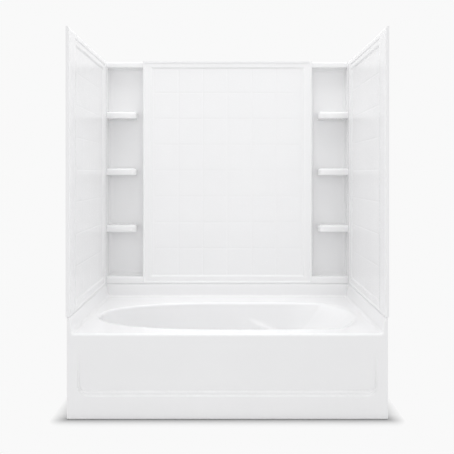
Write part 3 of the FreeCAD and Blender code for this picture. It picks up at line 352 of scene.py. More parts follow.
def skin(rows, loop=False):
    """Points and faces of a sheet through rows of points, all of the same length."""
    count = len(rows[0])
    points = [p for row in rows for p in row]
    faces = []
    for i in range(len(rows) - 1):
        for j in range(count if loop else count - 1):
            a, b = i * count + j, i * count + (j + 1) % count
            faces.append((a, b, b + count, a + count))
    return points, faces


def placed(name, build, material=None):
    """An object made from a finished bmesh, which already holds its place."""
    mesh = bpy.data.meshes.new(name)
    build.to_mesh(mesh)
    build.free()
    if material:
        mesh.materials.append(material)
    item = bpy.data.objects.new(name, mesh)
    scene.collection.objects.link(item)
    return item


def piece(name, skins, material, closed=False):
    """One object of several skins given in millimetres, with points that coincide made one."""
    build = bmesh.new()
    for points, faces in skins:
        made = [build.verts.new((x * MM, y * MM, z * MM)) for x, y, z in points]
        for face in faces:
            build.faces.new([made[i] for i in face])
    bmesh.ops.remove_doubles(build, verts=build.verts, dist=JOIN)
    if closed:
        bmesh.ops.recalc_face_normals(build, faces=build.faces)
    return placed(name, build, material)


print("skins are drawn in millimetres, and points within", JOIN / MM, "mm are joined")

# %% [markdown]
# A skin becomes a finished piece in a few steps. Modifiers thicken it or soften its edges and are then made plain
# mesh. After that it rides on its body and stands for its CAD node.

# %% Finishing a piece
SHARP, SOFT = math.radians(38), math.radians(40)


def settled(item):
    """Turn an object's modifiers into plain mesh, shaded smooth except across sharp edges."""
    bpy.context.view_layer.update()
    graph = bpy.context.evaluated_depsgraph_get()
    mesh = bpy.data.meshes.new_from_object(item.evaluated_get(graph))
    mesh.name = item.name
    item.modifiers.clear()
    item.data = mesh
    mesh.polygons.foreach_set("use_smooth", [True] * len(mesh.polygons))
    mesh.set_sharp_from_angle(angle=SHARP)
    return item


def thickened(item, wall):
    sheet = item.modifiers.new("wall", "SOLIDIFY")
    sheet.thickness = wall * MM
    sheet.offset = -1
    return settled(item)


def softened(item, edge, segments):
    """Round an object's sharp edges a little, as every moulded or cut edge is."""
    soften = item.modifiers.new("soften", "BEVEL")
    soften.width = edge * MM
    soften.segments = segments
    soften.limit_method = "ANGLE"
    soften.angle_limit = SOFT
    return item


def stands_for(item, slot, *nodes, body="unit"):
    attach(item, body)
    if nodes:
        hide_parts(*nodes)
    print(item.name, len(item.data.polygons), "faces for", nodes)
    return item


print("edges that turn by more than", round(math.degrees(SHARP)), "degrees are shaded sharp")

# %% [markdown]
# Two rules serve all sheets: a step that eases in and out, and places along a line that are far apart except
# where a mark asks for one.

# %% Easing and spacing
HAIR, CLEAR = 0.05, 1


def smooth(t):
    t = min(max(t, 0.0), 1.0)
    return t * t * (3 - 2 * t)


def spaced(places):
    """Places in order, without those that lie within a hair of the one before."""
    places = sorted(places)
    return [p for i, p in enumerate(places) if i == 0 or p - places[i - 1] > HAIR]


def stations(low, high, step, marks=()):
    """Places from low to high: a coarse step, and one at each mark."""
    count = max(1, round((high - low) / step))
    places = {low + (high - low) * i / count for i in range(count + 1)}
    for mark in marks:
        places = {p for p in places if not mark - CLEAR < p < mark + CLEAR or p in (low, high)}
        places.update({mark} if low < mark < high else ())
    return spaced(places)


print("places on a line of 100 mm with a mark at 31:", stations(0, 100, 25.0, [31]))

# %% [markdown]
# ## The bath
# On the real bath one sheet runs from the floor up the apron, over a rounded edge to the deck, down into the
# basin, and up an upstand at three sides to the ledge that carries the walls. First the upstand's section: a
# cove at its foot, a face that leans back, and a round at its top. It gives an offset for a height, so that
# the sections of the end and the back, sampled at the same heights, meet in a mitre.

# %% Bath sizes and the upstand's section
HALF, FRONT, BACK = 762.0, -457.0, 457.0
DECK, LEDGE = 406.0, 482.0
RISE = LEDGE - DECK
END_FOOT, END_LEAN, END_COVE = 737.0, 15.0, 16.0
BACK_FOOT, BACK_LEAN, BACK_COVE = 365.4, 0.6, 14.0
TOP_ROUND, BAND = 6.0, 6.0
COVE_TURNS = [math.radians(a) for a in (0, 12, 25, 38, 52, 66, 80)]
TOP_TURNS, FACE_LEVELS = (0.35, 0.6, 0.85, 1.1, 1.35), {34.0, 48.0, 60.0, RISE}


def section_offset(height, lean, cove):
    """How far outside its foot the upstand's face lies at a height above the deck."""
    slope = math.atan2(lean, RISE)
    tangent = math.tan((math.pi / 2 - slope) / 2)
    if height < cove * tangent * math.cos(slope):
        return -cove * tangent + math.sqrt(max(cove ** 2 - (cove - height) ** 2, 0))
    if height > RISE - TOP_ROUND * tangent * math.cos(slope):
        drop = height - (RISE - TOP_ROUND)
        return lean + TOP_ROUND * tangent - math.sqrt(max(TOP_ROUND ** 2 - drop ** 2, 0))
    return lean * height / RISE


heights = {cove * (1 - math.cos(a)) for cove in (END_COVE, BACK_COVE) for a in COVE_TURNS} | FACE_LEVELS
heights |= {RISE - TOP_ROUND * (1 - math.sin(a)) for a in TOP_TURNS}


def upstand_section(foot, lean, cove):
    """Places and heights from a narrow band of the deck up to the ledge."""
    places = [(foot + section_offset(h, lean, cove), h) for h in sorted(heights)]
    return [(foot + section_offset(0, lean, cove) - BAND, 0.0)] + places


end_section = upstand_section(END_FOOT, END_LEAN, END_COVE)
back_section = upstand_section(BACK_FOOT, BACK_LEAN, BACK_COVE)
DECK_X, DECK_Y = end_section[0][0], back_section[0][0]
print("upstand section has", len(end_section), "points; flat deck to", round(DECK_X, 1), round(DECK_Y, 1))

# %% [markdown]
# The front edge is one round that runs along the deck and climbs the two ears. The section of the whole front
# is a line of points. Each point has its own radius, wide on the deck and small on the ears, and the round is
# that line pushed inwards while it moves forwards.

# %% Front edge
EDGE_RADIUS, EAR_RADIUS = 11.0, 4.0
EDGE_TURNS = [math.radians(a) for a in (90, 72, 54, 36, 18, 0)]
DECK_FRONT = FRONT + EDGE_RADIUS + BAND
PANEL_X, SIDE_MARK, FRONT_STEP = 712.0, 3.0, 24.0
panel_marks = [side * (PANEL_X - i * SIDE_MARK) for side in (-1, 1) for i in range(-2, 22)]
across = stations(-DECK_X, DECK_X, FRONT_STEP, panel_marks)
ear = [(x, DECK + h) for x, h in end_section[1:]] + [(HALF, LEDGE)]
front_line = [(-x, z) for x, z in reversed(ear)] + [(x, DECK) for x in across] + ear


def edge_radius(z):
    return EDGE_RADIUS + (EAR_RADIUS - EDGE_RADIUS) * smooth((z - DECK) / RISE)


def inward(i):
    """The direction into the material, square to the front line at one of its points."""
    a, b = front_line[max(i - 1, 0)], front_line[min(i + 1, len(front_line) - 1)]
    run = Vector((b[0] - a[0], b[1] - a[1])).normalized()
    return Vector((run.y, -run.x))


def edge_row(angle):
    row = []
    for i, (x, z) in enumerate(front_line):
        radius = edge_radius(z)
        push = inward(i) * radius * (1 - math.cos(angle))
        within = min(max(x + push.x, -HALF), HALF)
        row.append((within, FRONT + radius * (1 - math.sin(angle)), z + push.y))
    return row


edge_rows = [edge_row(turn) for turn in EDGE_TURNS]
deck_row = [(x, DECK_FRONT if z == DECK else y, z) for x, y, z in edge_rows[-1]]
print("front edge:", len(edge_rows), "rows of", len(front_line), "points")

# %% [markdown]
# The apron's panel is sunk. It fades out upwards and ends below on a bead of two small steps with round corners,
# so it is a depth at each place, and rows and columns are set close together along the bead. The foot turns in on
# a round, which leaves a thin dark line of real shade on the floor. The floor's painted shadow along the foot
# deepens that line.

# %% Apron
PANEL_LOW, PANEL_TOP, PANEL_CORNER = 108.0, 330.0, 50.0
PANEL_SINK, BEAD, SIDE_BEAD = 14.0, 25.0, 8.0
STEP_SHARE, SECOND_STEP = 0.32, 0.68
BEAD_MARK, UNDER_EDGE = 2, 2
FOOT_ROUND, FOOT_GAP, FOOT_DEPTH = 5.0, 1.0, 27.0
FOOT_TURNS = (0.4, 0.8, 1.2)


def panel_sink(x, z):
    """Depth of the apron's sunk panel: it fades out upwards and ends below on a bead with round corners."""
    if z >= PANEL_TOP:
        return 0.0
    right, up = PANEL_X - abs(x), z - PANEL_LOW
    if right < PANEL_CORNER and up < PANEL_CORNER:
        corner = Vector((PANEL_CORNER - right, PANEL_CORNER - up))
        reached = PANEL_CORNER - corner.length
        share = (corner.y / max(corner.length, 0.001)) ** 2
    elif right < up:
        reached, share = right, 0.0
    else:
        reached, share = up, 1.0
    depth = PANEL_SINK * min((PANEL_TOP - z) / (PANEL_TOP - PANEL_LOW - BEAD), 1.0)
    part = reached / (SIDE_BEAD + (BEAD - SIDE_BEAD) * share)
    return depth * (0.5 * smooth(part / STEP_SHARE) + 0.5 * smooth((part - SECOND_STEP) / STEP_SHARE))


bead_marks = [PANEL_LOW + BEAD_MARK * i for i in range(-1, 30)]
levels = stations(FOOT_ROUND + FOOT_GAP, DECK - EDGE_RADIUS - UNDER_EDGE, FRONT_STEP, bead_marks + [PANEL_TOP])
foot = [(FOOT_DEPTH, FOOT_GAP), (FOOT_ROUND, FOOT_GAP)]
foot += [(FOOT_ROUND * (1 - math.sin(a)), FOOT_GAP + FOOT_ROUND * (1 - math.cos(a))) for a in FOOT_TURNS]
apron_x = [x for x, _, _ in edge_rows[0]]
apron_rows = [[(x, FRONT + back, z) for x in apron_x] for back, z in foot]
apron_rows += [[(x, FRONT + panel_sink(x, z), z) for x in apron_x] for z in levels]
front_skin = skin(apron_rows + edge_rows + [deck_row])
print("front skin:", len(front_skin[1]), "faces")

# %% [markdown]
# The two ends and the back of the upstand carry their sections along straight runs that meet in mitres, and
# each run ends above in its flat strip of the ledge. A triangle closes the ledge at each corner.

# %% Upstand and ledge
RUN_STEP, RUN_MARGIN = 60.0, 40
LEDGE_X, LEDGE_Y = end_section[-1][0], back_section[-1][0]
along_end = stations(FRONT + RUN_MARGIN, BACK_FOOT - RUN_MARGIN, RUN_STEP)
along_back = stations(-DECK_X, DECK_X, RUN_STEP)[1:-1]


def end_strip(side):
    """The upstand of one end, from the front round to the mitre, and the ledge on it."""
    rows = []
    for (x, h), (stop, _) in zip(end_section, back_section):
        start = FRONT + edge_radius(DECK + h) + (BAND if h == 0 else 0)
        rows.append([(side * x, y, DECK + h) for y in [start] + along_end + [stop]])
    rows.append([(side * HALF, y, LEDGE) for y in [FRONT + EAR_RADIUS] + along_end + [LEDGE_Y]])
    return skin(rows if side < 0 else rows[::-1])


back_rows = []
for (x, h), (y, _) in zip(end_section, back_section):
    back_rows.append([(u, y, DECK + h) for u in [-x] + along_back + [x]])
back_rows.append([(u, BACK, LEDGE) for u in [-HALF] + along_back + [HALF]])
upstand_skins = [end_strip(-1), end_strip(1), skin(back_rows)]
for side in (-1, 1):
    corner = [(side * LEDGE_X, LEDGE_Y, LEDGE), (side * HALF, LEDGE_Y, LEDGE), (side * HALF, BACK, LEDGE)]
    upstand_skins.append((corner, [(0, 1, 2)] if side > 0 else [(0, 2, 1)]))
print("upstand:", sum(len(faces) for _, faces in upstand_skins), "faces")

# %% [markdown]
# ## The basin
# The basin is an oval that changes on its way down: the drain end and the sides stay steep, and the backrest
# leans. How far each has come in at a depth follows the same shares as the CAD basin, made finer by a smooth
# curve through them.

# %% Basin sizes and depths
MIDDLE_Y, FLOOR_Z = -92.0, 96.0
HALF_LENGTH, HALF_WIDTH = 684.0, 279.0
DRAIN_DRAW, BACKREST_DRAW, SIDE_DRAW = 118.0, 330.0, 92.0
SHARES = [(0, 0, 0), (0.1, 0.02, 0.10), (0.4, 0.14, 0.34), (0.7, 0.32, 0.63), (0.9, 0.6, 0.83), (1, 1, 1)]
STEEP, LEAN = 1, 2


def between(t, i):
    """A smooth curve through one column of the shares, by depth."""
    depths = [s[0] for s in SHARES]
    k = max(j for j in range(len(depths) - 1) if depths[j] <= t)
    span = depths[k + 1] - depths[k]

    def slope(j):
        a, b = max(j - 1, 0), min(j + 1, len(depths) - 1)
        return (SHARES[b][i] - SHARES[a][i]) / (depths[b] - depths[a])
    u = (t - depths[k]) / span
    start, stop = SHARES[k][i], SHARES[k + 1][i]
    return ((2 * u ** 3 - 3 * u ** 2 + 1) * start + (u ** 3 - 2 * u ** 2 + u) * span * slope(k)
            + (3 * u ** 2 - 2 * u ** 3) * stop + (u ** 3 - u ** 2) * span * slope(k + 1))


print("half-way down, the sides come in by", round(SIDE_DRAW * between(0.5, STEEP)), "mm and the backrest by",
      round(BACKREST_DRAW * between(0.5, LEAN)), "mm")

# %% [markdown]
# Seen from above, each level is a reach in every direction. A full oval gives the drain end and the sides. On
# the real bath the backrest is gently bent and meets each side in a crease, so at that end the smaller of two
# reaches counts. The directions stand closer together where the creases run, which keeps them crisp.

# %% Plan of the basin
DRAIN_FULLNESS, SIDE_FULLNESS = 2.3, 4.6
BACKREST_BEND, CREASE_SHARPNESS = 0.234, 260
CREASE_TURN, CROWD_WIDTH, CROWD = math.radians(48), math.radians(5), 3.0
POINTS_ROUND, HALF_TURN = 336, 1800
LEAST_BEND, LEAST_COSINE, ROUNDING = 0.00001, 0.01, 0.0001


def fullness_reach(c, s, fullness):
    return (abs(c) ** fullness + abs(s) ** fullness) ** (-1 / fullness)


def creased_reach(c, s):
    """Reach of a full side that meets a gently bent backrest in a crease."""
    side = fullness_reach(c, s, SIDE_FULLNESS)
    bend = BACKREST_BEND * s * s
    rest = (math.sqrt(c * c + 4 * bend) - c) / (2 * bend) if bend > LEAST_BEND else 1 / c
    return (side ** -CREASE_SHARPNESS + rest ** -CREASE_SHARPNESS) ** (-1 / CREASE_SHARPNESS)


def crowding(turn):
    """How close together the directions stand, as a weight: 1 away from the creases."""
    away = [math.remainder(turn - side * CREASE_TURN, 2 * math.pi) / CROWD_WIDTH for side in (-1, 1)]
    return 1 + CROWD * sum(math.exp(-a ** 2) for a in away)


def column_turns():
    """Directions round the basin, set closer together where the two creases run."""
    fine = [math.pi * i / HALF_TURN for i in range(2 * HALF_TURN)]
    weights = [crowding(a) for a in fine]
    step = sum(weights) / POINTS_ROUND
    turns, passed = [], 0.0
    for a, weight in zip(fine, weights):
        if passed >= step * len(turns) - ROUNDING and len(turns) < POINTS_ROUND:
            turns.append(a)
        passed += weight
    return turns


columns = column_turns()


def oval(steep, lean, grow, z, creased):
    left = -HALF_LENGTH + DRAIN_DRAW * steep - grow
    right = HALF_LENGTH - BACKREST_DRAW * lean + grow
    half = HALF_WIDTH - SIDE_DRAW * steep + grow
    row = []
    for turn in columns:
        c, s = math.cos(turn), math.sin(turn)
        reach = fullness_reach(c, s, SIDE_FULLNESS if c > 0 else DRAIN_FULLNESS)
        if creased and c > LEAST_COSINE:
            reach = creased_reach(c, s)
        row.append(((left + right) / 2 + reach * c * (right - left) / 2, MIDDLE_Y + reach * s * half, z))
    return row


print("basin:", len(columns), "directions")

# %% [markdown]
# Two forms interrupt the oval. At the drain end a flat leaning facet gives the overflow's plate its seat, and
# on both sides a slanting ledge serves as an arm rest. Both only move points that are there already, so the
# walls stay one net.

# %% Facet, arm rests and walls
FACET_RIM, FACET_TOP, FACET_SLOPE, FACET_OVER = -680.4, DECK - 35.5, math.tan(math.radians(14)), 14
REST_START, REST_STOP, REST_HEIGHT = Vector((118, 313)), Vector((300, 232)), 15.0
REST_RISE, REST_END, REST_FALL = 0.5, 1.25, 0.25
REST_BELOW, REST_ABOVE, REST_INNER, REST_FADE = 120, 15, 80, 60
LEVELS = 88
FLOOR_ROUND = [0.92, 0.94, 0.955, 0.97, 0.98, 0.99, 1.0]


def on_facet(point):
    """Keep a point inside the flat facet that the overflow stands on."""
    x, y, z = point
    if z < FACET_TOP + FACET_OVER:
        x = max(x, FACET_RIM + (FACET_TOP - z) * FACET_SLOPE)
    return (x, y, z)


def arm_rest(point):
    """Bring the side walls forward below a slanting line, so that a narrow ledge above it faces up."""
    x, y, z = point
    run = REST_STOP - REST_START
    place = Vector((x, z)) - REST_START
    share = place.dot(run) / run.length_squared
    above = (place.y * run.x - place.x * run.y) / run.length
    ends = smooth(share / REST_RISE) * smooth((REST_END - share) / REST_FALL)
    rise = smooth(1 + above / REST_BELOW) if above < 0 else smooth(1 - above / REST_ABOVE)
    side = smooth((abs(y - MIDDLE_Y) - REST_INNER) / REST_FADE)
    return (x, y - math.copysign(REST_HEIGHT * ends * rise * side, y - MIDDLE_Y), z)


walls = []
for t in [i / LEVELS for i in range(4, 80)] + FLOOR_ROUND:
    level = oval(between(t, STEEP), between(t, LEAN), 0, DECK - t * (DECK - FLOOR_Z), True)
    walls.append([arm_rest(on_facet(p)) for p in level])
print("basin walls:", len(walls), "levels")

# %% [markdown]
# The rim is a round that leaves the deck level and runs into each wall along the wall's own slope, so one rule
# serves the steep sides and the leaning backrest. Outside it the deck runs to the rectangle that the front
# edge and the upstand start from. Below the last level the floor runs to the round drain hole.

# %% Rim, deck and floor of the basin
RIM_RADIUS, SLOPE_ROW = 14.0, 4
RIM_STEPS = (0, 0.12, 0.25, 0.38, 0.5, 0.62, 0.75, 0.88)
DECK_BAND, FLOOR_STEPS = 0.12, (0.06, 0.2, 0.5, 0.8, 1.0)
DRAIN_X, DRAIN_RADIUS = -500.0, 22.0


def rim_point(edge, upper, lower, t):
    """A point on the round that leaves the deck at the edge and runs into the wall along its slope."""
    edge, upper, lower = Vector(edge), Vector(upper), Vector(lower)
    turn = upper + (upper - lower) * ((DECK - upper.z) / (upper.z - lower.z))
    return tuple((1 - t) ** 2 * edge + 2 * t * (1 - t) * turn + t * t * upper)


def toward_rectangle(point):
    """Where the line from the basin's middle through a rim point meets the edge of the flat deck."""
    dx, dy = point[0], point[1] - MIDDLE_Y
    reach = [DECK_X / abs(dx)] if dx else []
    if dy:
        reach.append(((DECK_Y - MIDDLE_Y) if dy > 0 else (MIDDLE_Y - DECK_FRONT)) / abs(dy))
    return (dx * min(reach), MIDDLE_Y + dy * min(reach), DECK)


def row_between(first, second, t):
    return [tuple(a + (b - a) * t for a, b in zip(p, q)) for p, q in zip(first, second)]


rim_edge = oval(0, 0, RIM_RADIUS, DECK, False)
rim = [[rim_point(*trio, t) for trio in zip(rim_edge, walls[0], walls[SLOPE_ROW])] for t in RIM_STEPS]
border = [toward_rectangle(p) for p in rim[0]]
for corner in [(x, y) for x in (-DECK_X, DECK_X) for y in (DECK_FRONT, DECK_Y)]:
    nearest = min(range(POINTS_ROUND), key=lambda k: math.dist(border[k][:2], corner))
    border[nearest] = (*corner, DECK)
hole = []
for x, y, _ in walls[-1]:
    turn = math.atan2(y - MIDDLE_Y, x - DRAIN_X)
    hole.append((DRAIN_X + DRAIN_RADIUS * math.cos(turn), MIDDLE_Y + DRAIN_RADIUS * math.sin(turn), FLOOR_Z))
floor_rows = [row_between(walls[-1], hole, t) for t in FLOOR_STEPS]
basin_rows = [border, row_between(rim[0], border, DECK_BAND)] + rim + walls + floor_rows
print("basin:", len(basin_rows), "rows from the deck to the drain")

# %% [markdown]
# The bath is all of these skins joined at their shared points and thickened. The overflow's hole is made by
# leaving out the faces that lie behind its plate.

# %% Bath sheet
OVERFLOW_Z, OVERFLOW_RADIUS, OVERFLOW_END = DECK - 88.0, 31.0, -600
BATH_SHEET = 5.5
points, faces = skin(basin_rows, loop=True)


def in_overflow(face):
    x, y, z = (sum(points[i][k] for i in face) / 4 for k in range(3))
    return x <= OVERFLOW_END and math.hypot(y - MIDDLE_Y, z - OVERFLOW_Z) <= OVERFLOW_RADIUS


basin_skin = (points, [face for face in faces if not in_overflow(face)])
bath = piece("bath", [front_skin, basin_skin] + upstand_skins, bath_white)
thickened(bath, BATH_SHEET)
stands_for(bath, "bath_moulding", "bath_shell")

# %% [markdown]
# ## The wall relief
# Each wall has a raised border, two shallow steps down to a field, and a pattern of square tiles pressed into
# the field. All of it is a depth at a place: each step is a slope round a rectangle, with its own width at
# each side and mitred corners, and the joints are narrow soft grooves.

# %% Wall relief
WALL_LOW, WALL_TOP = 485.0, 1868.0
FRAME_STEP, FIELD_STEP = 2.8, 4.4
FRAME_LOW, FIELD_LOW = 493.0, 526.0
GROOVE_HALF, BACK_GROOVE, END_GROOVE = 6.0, 0.7, 0.35
GROOVE_FROM, GROOVE_FADE = 0.9, 0.4
TILE_LOW, TILE_HIGH, TILE_ROWS = 541.0, 161.75, 8
JOINT_OFFSETS = (-10, -6, -4.5, -3, -1.5, 0, 1.5, 3, 4.5, 6, 10)
SLOPE_PARTS, AROUND = 8, 0.5
level_joints = [TILE_LOW + TILE_HIGH * i for i in range(1, TILE_ROWS)]


def inside(u, v, box, widths):
    """Share of the slope passed at a place: below 0 on the border, over 1 inside the step."""
    gaps = (u - box[0], box[1] - u, v - box[2], box[3] - v)
    return min(gap / width for gap, width in zip(gaps, widths))


def joint(distance):
    return max(0.0, 1 - abs(distance) / GROOVE_HALF)


def relief(u, v, steps, uprights, groove):
    """Depth of the wall's face below its border at one place."""
    (frame_box, frame_widths), (field_box, field_widths) = steps
    depth = FRAME_STEP * smooth(inside(u, v, frame_box, frame_widths))
    field = inside(u, v, field_box, field_widths)
    depth += FIELD_STEP * smooth(field)
    if field > GROOVE_FROM:
        lines = [joint(u - x) for x in uprights]
        lines += [joint(v - TILE_LOW - TILE_HIGH * i) for i in range(1, TILE_ROWS)]
        depth += groove * smooth(max(lines)) * smooth((field - GROOVE_FROM) / GROOVE_FADE)
    return depth


def slopes_of(steps, first):
    """The start and stop of each slope of the steps along u (first 0) or v (first 2)."""
    found = []
    for box, widths in steps:
        found.append((box[first], box[first] + widths[first]))
        found.append((box[first + 1] - widths[first + 1], box[first + 1]))
    return found


def marked(low, high, coarse, slopes, joints):
    """Places from low to high: coarse steps, close ones at the joints and on the slopes."""
    places = stations(low, high, coarse)
    close = [[mark + d for d in JOINT_OFFSETS] for mark in joints]
    for start, stop in slopes:
        close.append([start + (stop - start) * i / SLOPE_PARTS for i in range(-1, SLOPE_PARTS + 2)])
    for near in close:
        near.sort()
        places = [p for p in places if not near[0] - AROUND < p < near[-1] + AROUND or p in (low, high)]
        places += [n for n in near if low < n < high]
    return spaced(places)


print("tile joints at heights", level_joints)

# %% [markdown]
# ## The back wall
# Seen from above, the back wall is one line: along the centre panel, round its edge into the niche, across the
# niche's back with coves in its corners, and out again to the flange. Drawing that line at many heights gives
# the whole sheet, and only the points of the centre panel take the relief.

# %% Back wall
PANEL_Y, NICHE_Y, PANEL_HALF = 367.0, 452.0, 527.0
SIDE_X, FLANGE_X = 752.0, 768.0
NICHE_COVE, EDGE, FLANGE_EDGE = 22.0, 5.0, 3
NICHE_DEPTHS, NICHE_PLACES = (376, 390, 410), (580, 620, 660, 700)
TILE_WIDE, COLUMNS = 152.4, 6
PANEL_STEP, LEVEL_STEP, BACK_SHEET = 40.0, 60.0, 5
FRAME_X, FIELD_X = PANEL_HALF - 8, PANEL_HALF - 48
back_steps = [((-FRAME_X, FRAME_X, FRAME_LOW, 1860.0), (7, 7, 9, 7)),
              ((-FIELD_X, FIELD_X, FIELD_LOW, 1834.0), (12, 12, 13, 13))]
back_uprights = [TILE_WIDE * (i - COLUMNS / 2) for i in range(COLUMNS + 1)]


def arc(cx, cy, radius, start, stop, count=7):
    turns = [math.radians(start + (stop - start) * i / (count - 1)) for i in range(count)]
    return [(cx + radius * math.cos(t), cy + radius * math.sin(t)) for t in turns]


panel_across = marked(-PANEL_HALF + EDGE, PANEL_HALF - EDGE, PANEL_STEP, slopes_of(back_steps, 0), back_uprights)
niche = arc(PANEL_HALF - EDGE, PANEL_Y + EDGE, EDGE, -90, 0)
niche += [(PANEL_HALF, y) for y in NICHE_DEPTHS]
niche += arc(PANEL_HALF + NICHE_COVE, NICHE_Y - NICHE_COVE, NICHE_COVE, 180, 90, 9)
niche += [(x, NICHE_Y) for x in NICHE_PLACES]
niche += arc(SIDE_X - NICHE_COVE, NICHE_Y - NICHE_COVE, NICHE_COVE, 90, 0, 9)
niche += [(SIDE_X, y) for y in reversed(NICHE_DEPTHS)]
niche += arc(SIDE_X + FLANGE_EDGE, PANEL_Y + FLANGE_EDGE, FLANGE_EDGE, 180, 270, 5) + [(FLANGE_X, PANEL_Y)]
plan = [(-x, y) for x, y in reversed(niche)] + [(x, PANEL_Y) for x in panel_across[1:-1]] + niche
rows = []
for z in marked(WALL_LOW, WALL_TOP, LEVEL_STEP, slopes_of(back_steps, 2), level_joints):
    row = []
    for x, y in plan:
        if y == PANEL_Y and abs(x) < PANEL_HALF:
            y += relief(x, z, back_steps, back_uprights, BACK_GROOVE)
        row.append((x, y, z))
    rows.append(row)
back_wall = piece("back_wall_sheet", [skin(rows)], wall_white)
thickened(back_wall, BACK_SHEET)
stands_for(back_wall, "wall_moulding", "back_wall")

# %% [markdown]
# ## Shelves
# The shelves repeat, so one is drawn and a Geometry Nodes tree sets copies of it one above the other. Copying
# the points in code would do too, but the tree has named inputs for the number, the step and the finish, so
# other pieces can use it. It ends in real geometry.

# %% Stacking tree
STACK_INPUTS = (("Geometry", "Geometry"), ("Count", "Int"), ("Step", "Vector"), ("Finish", "Material"))


def stack_tree(name):
    tree = bpy.data.node_groups.new(name, "GeometryNodeTree")
    for label, kind in STACK_INPUTS:
        tree.interface.new_socket(label, in_out="INPUT", socket_type="NodeSocket" + kind)
    tree.interface.new_socket("Geometry", in_out="OUTPUT", socket_type="NodeSocketGeometry")
    given, out = add(tree, "NodeGroupInput").outputs, add(tree, "NodeGroupOutput").inputs
    row = add(tree, "GeometryNodeMeshLine", {"Count": given["Count"], "Offset": given["Step"]}, mode="OFFSET")
    copies = add(tree, "GeometryNodeInstanceOnPoints", {"Points": row.outputs["Mesh"],
                                                        "Instance": given["Geometry"]})
    real = add(tree, "GeometryNodeRealizeInstances", {"Geometry": copies.outputs["Instances"]})
    paint = add(tree, "GeometryNodeSetMaterial", {"Geometry": real.outputs["Geometry"],
                                                  "Material": given["Finish"]})
    link(tree, paint.outputs["Geometry"], out["Geometry"])
    return tree


stack = stack_tree("stack_of_copies")


def stacked(item, count, step, material):
    copies = item.modifiers.new("stack", "NODES")
    copies.node_group = stack
    names = {s.name: s.identifier for s in stack.interface.items_tree if s.in_out == "INPUT"}
    copies[names["Count"]] = count
    copies[names["Step"]] = [v * MM for v in step]
    copies[names["Finish"]] = material
    return item


print("tree:", stack.name, "with", [label for label, _ in STACK_INPUTS])

# %% [markdown]
# A shelf has a round top edge, a small one below, a round corner at its free end, and an end that draws back
# towards the wall. It is one outline, drawn in more or less at each height of the edge, with flat faces over
# the first and the last.

# %% Shelves
SHELF_LOW, SHELF_HIGH, SHELF_PITCH, SHELF_COUNT = 805.0, 847.0, 354.0, 3
SHELF_IN, SHELF_CORNER, SHELF_TAPER = 566.0, 34.0, 14.0
TOP_EDGE, FOOT_EDGE, FLAT_RIM = 14.0, 4.0, 1.5
OVERLAP = 2
QUARTER = [math.radians(a) for a in (0, 15, 30, 45, 60, 75, 90)]
SIDES = ((-1, "left"), (1, "right"))


def level_to_upright(u, z, du, dz):
    """A quarter round at a corner: it leaves the level line at du and ends on the upright one at dz."""
    return [(u + du * (1 - math.sin(a)), z + dz * (1 - math.cos(a))) for a in QUARTER]


def upright_to_level(u, z, du, dz):
    """A quarter round at a corner: it leaves the upright line at dz and ends on the level one at du."""
    return [(u + du * (1 - math.cos(a)), z + dz * (1 - math.sin(a))) for a in QUARTER]


def shelf_ring(inset, z, side):
    """The shelf's outline seen from above, drawn in by an inset: the free end, its round corner, the front."""
    ring = [(SHELF_IN + SHELF_TAPER + inset, NICHE_Y + OVERLAP)]
    ring += arc(SHELF_IN + SHELF_CORNER, PANEL_Y + SHELF_CORNER, SHELF_CORNER - inset, 180, 270, 9)
    ring += [(SIDE_X + OVERLAP, PANEL_Y + inset), (SIDE_X + OVERLAP, NICHE_Y + OVERLAP)]
    return [(side * x, y, z) for x, y in ring]


def capped(rows):
    """A skin through closed rows with a face over its first and its last row."""
    points, faces = skin(rows, loop=True)
    count = len(rows[0])
    return points, faces + [tuple(range(count)), tuple(range(len(points) - count, len(points)))]


shelf_edge = [(FOOT_EDGE + FLAT_RIM, SHELF_LOW)]
shelf_edge += level_to_upright(0, SHELF_LOW, FOOT_EDGE, FOOT_EDGE)
shelf_edge += upright_to_level(0, SHELF_HIGH, TOP_EDGE, -TOP_EDGE)
shelf_edge += [(TOP_EDGE + FLAT_RIM, SHELF_HIGH)]
for side, word in SIDES:
    rings = [shelf_ring(inset, z, side) for inset, z in shelf_edge]
    shelf = piece(word + "_shelves", [capped(rings)], wall_white, closed=True)
    stacked(shelf, SHELF_COUNT, (0, 0, SHELF_PITCH), wall_white)
    stands_for(settled(shelf), "wall_moulding")

# %% [markdown]
# A lip closes each niche above, and a sill below. Each is a bar with one section, carried straight across: round
# edges in front, and a cove that runs into the niche's back. A thin plate covers the top of the centre panel.

# %% Lips, sills and top plate
SILL_EDGE, NICHE_ROUND, LIP_EDGE, SILL_FOOT = 9.0, 22.0, 6.0, 1
LIP_LOW, SILL_TOP = 1834.0, 527.0
LIP_FRONT = PANEL_Y + 30.0
PLATE_FRONT, PLATE_THICK, PLATE_EDGE = PANEL_Y + 3, 5, 1
BLOCK_SEGMENTS = 4
sill_line = [(NICHE_Y + OVERLAP, WALL_LOW), (PANEL_Y + SILL_FOOT, WALL_LOW), (PANEL_Y, WALL_LOW + SILL_FOOT)]
sill_line += upright_to_level(PANEL_Y, SILL_TOP, SILL_EDGE, -SILL_EDGE)
sill_line += level_to_upright(NICHE_Y, SILL_TOP, -NICHE_ROUND, NICHE_ROUND)
sill_line += [(NICHE_Y + OVERLAP, SILL_TOP + NICHE_ROUND)]
lip_line = [(NICHE_Y + OVERLAP, WALL_TOP)]
lip_line += level_to_upright(LIP_FRONT, WALL_TOP, LIP_EDGE, -LIP_EDGE)
lip_line += upright_to_level(LIP_FRONT, LIP_LOW, LIP_EDGE, LIP_EDGE)
lip_line += level_to_upright(NICHE_Y, LIP_LOW, -NICHE_ROUND, -NICHE_ROUND)
lip_line += [(NICHE_Y + OVERLAP, LIP_LOW - NICHE_ROUND)]


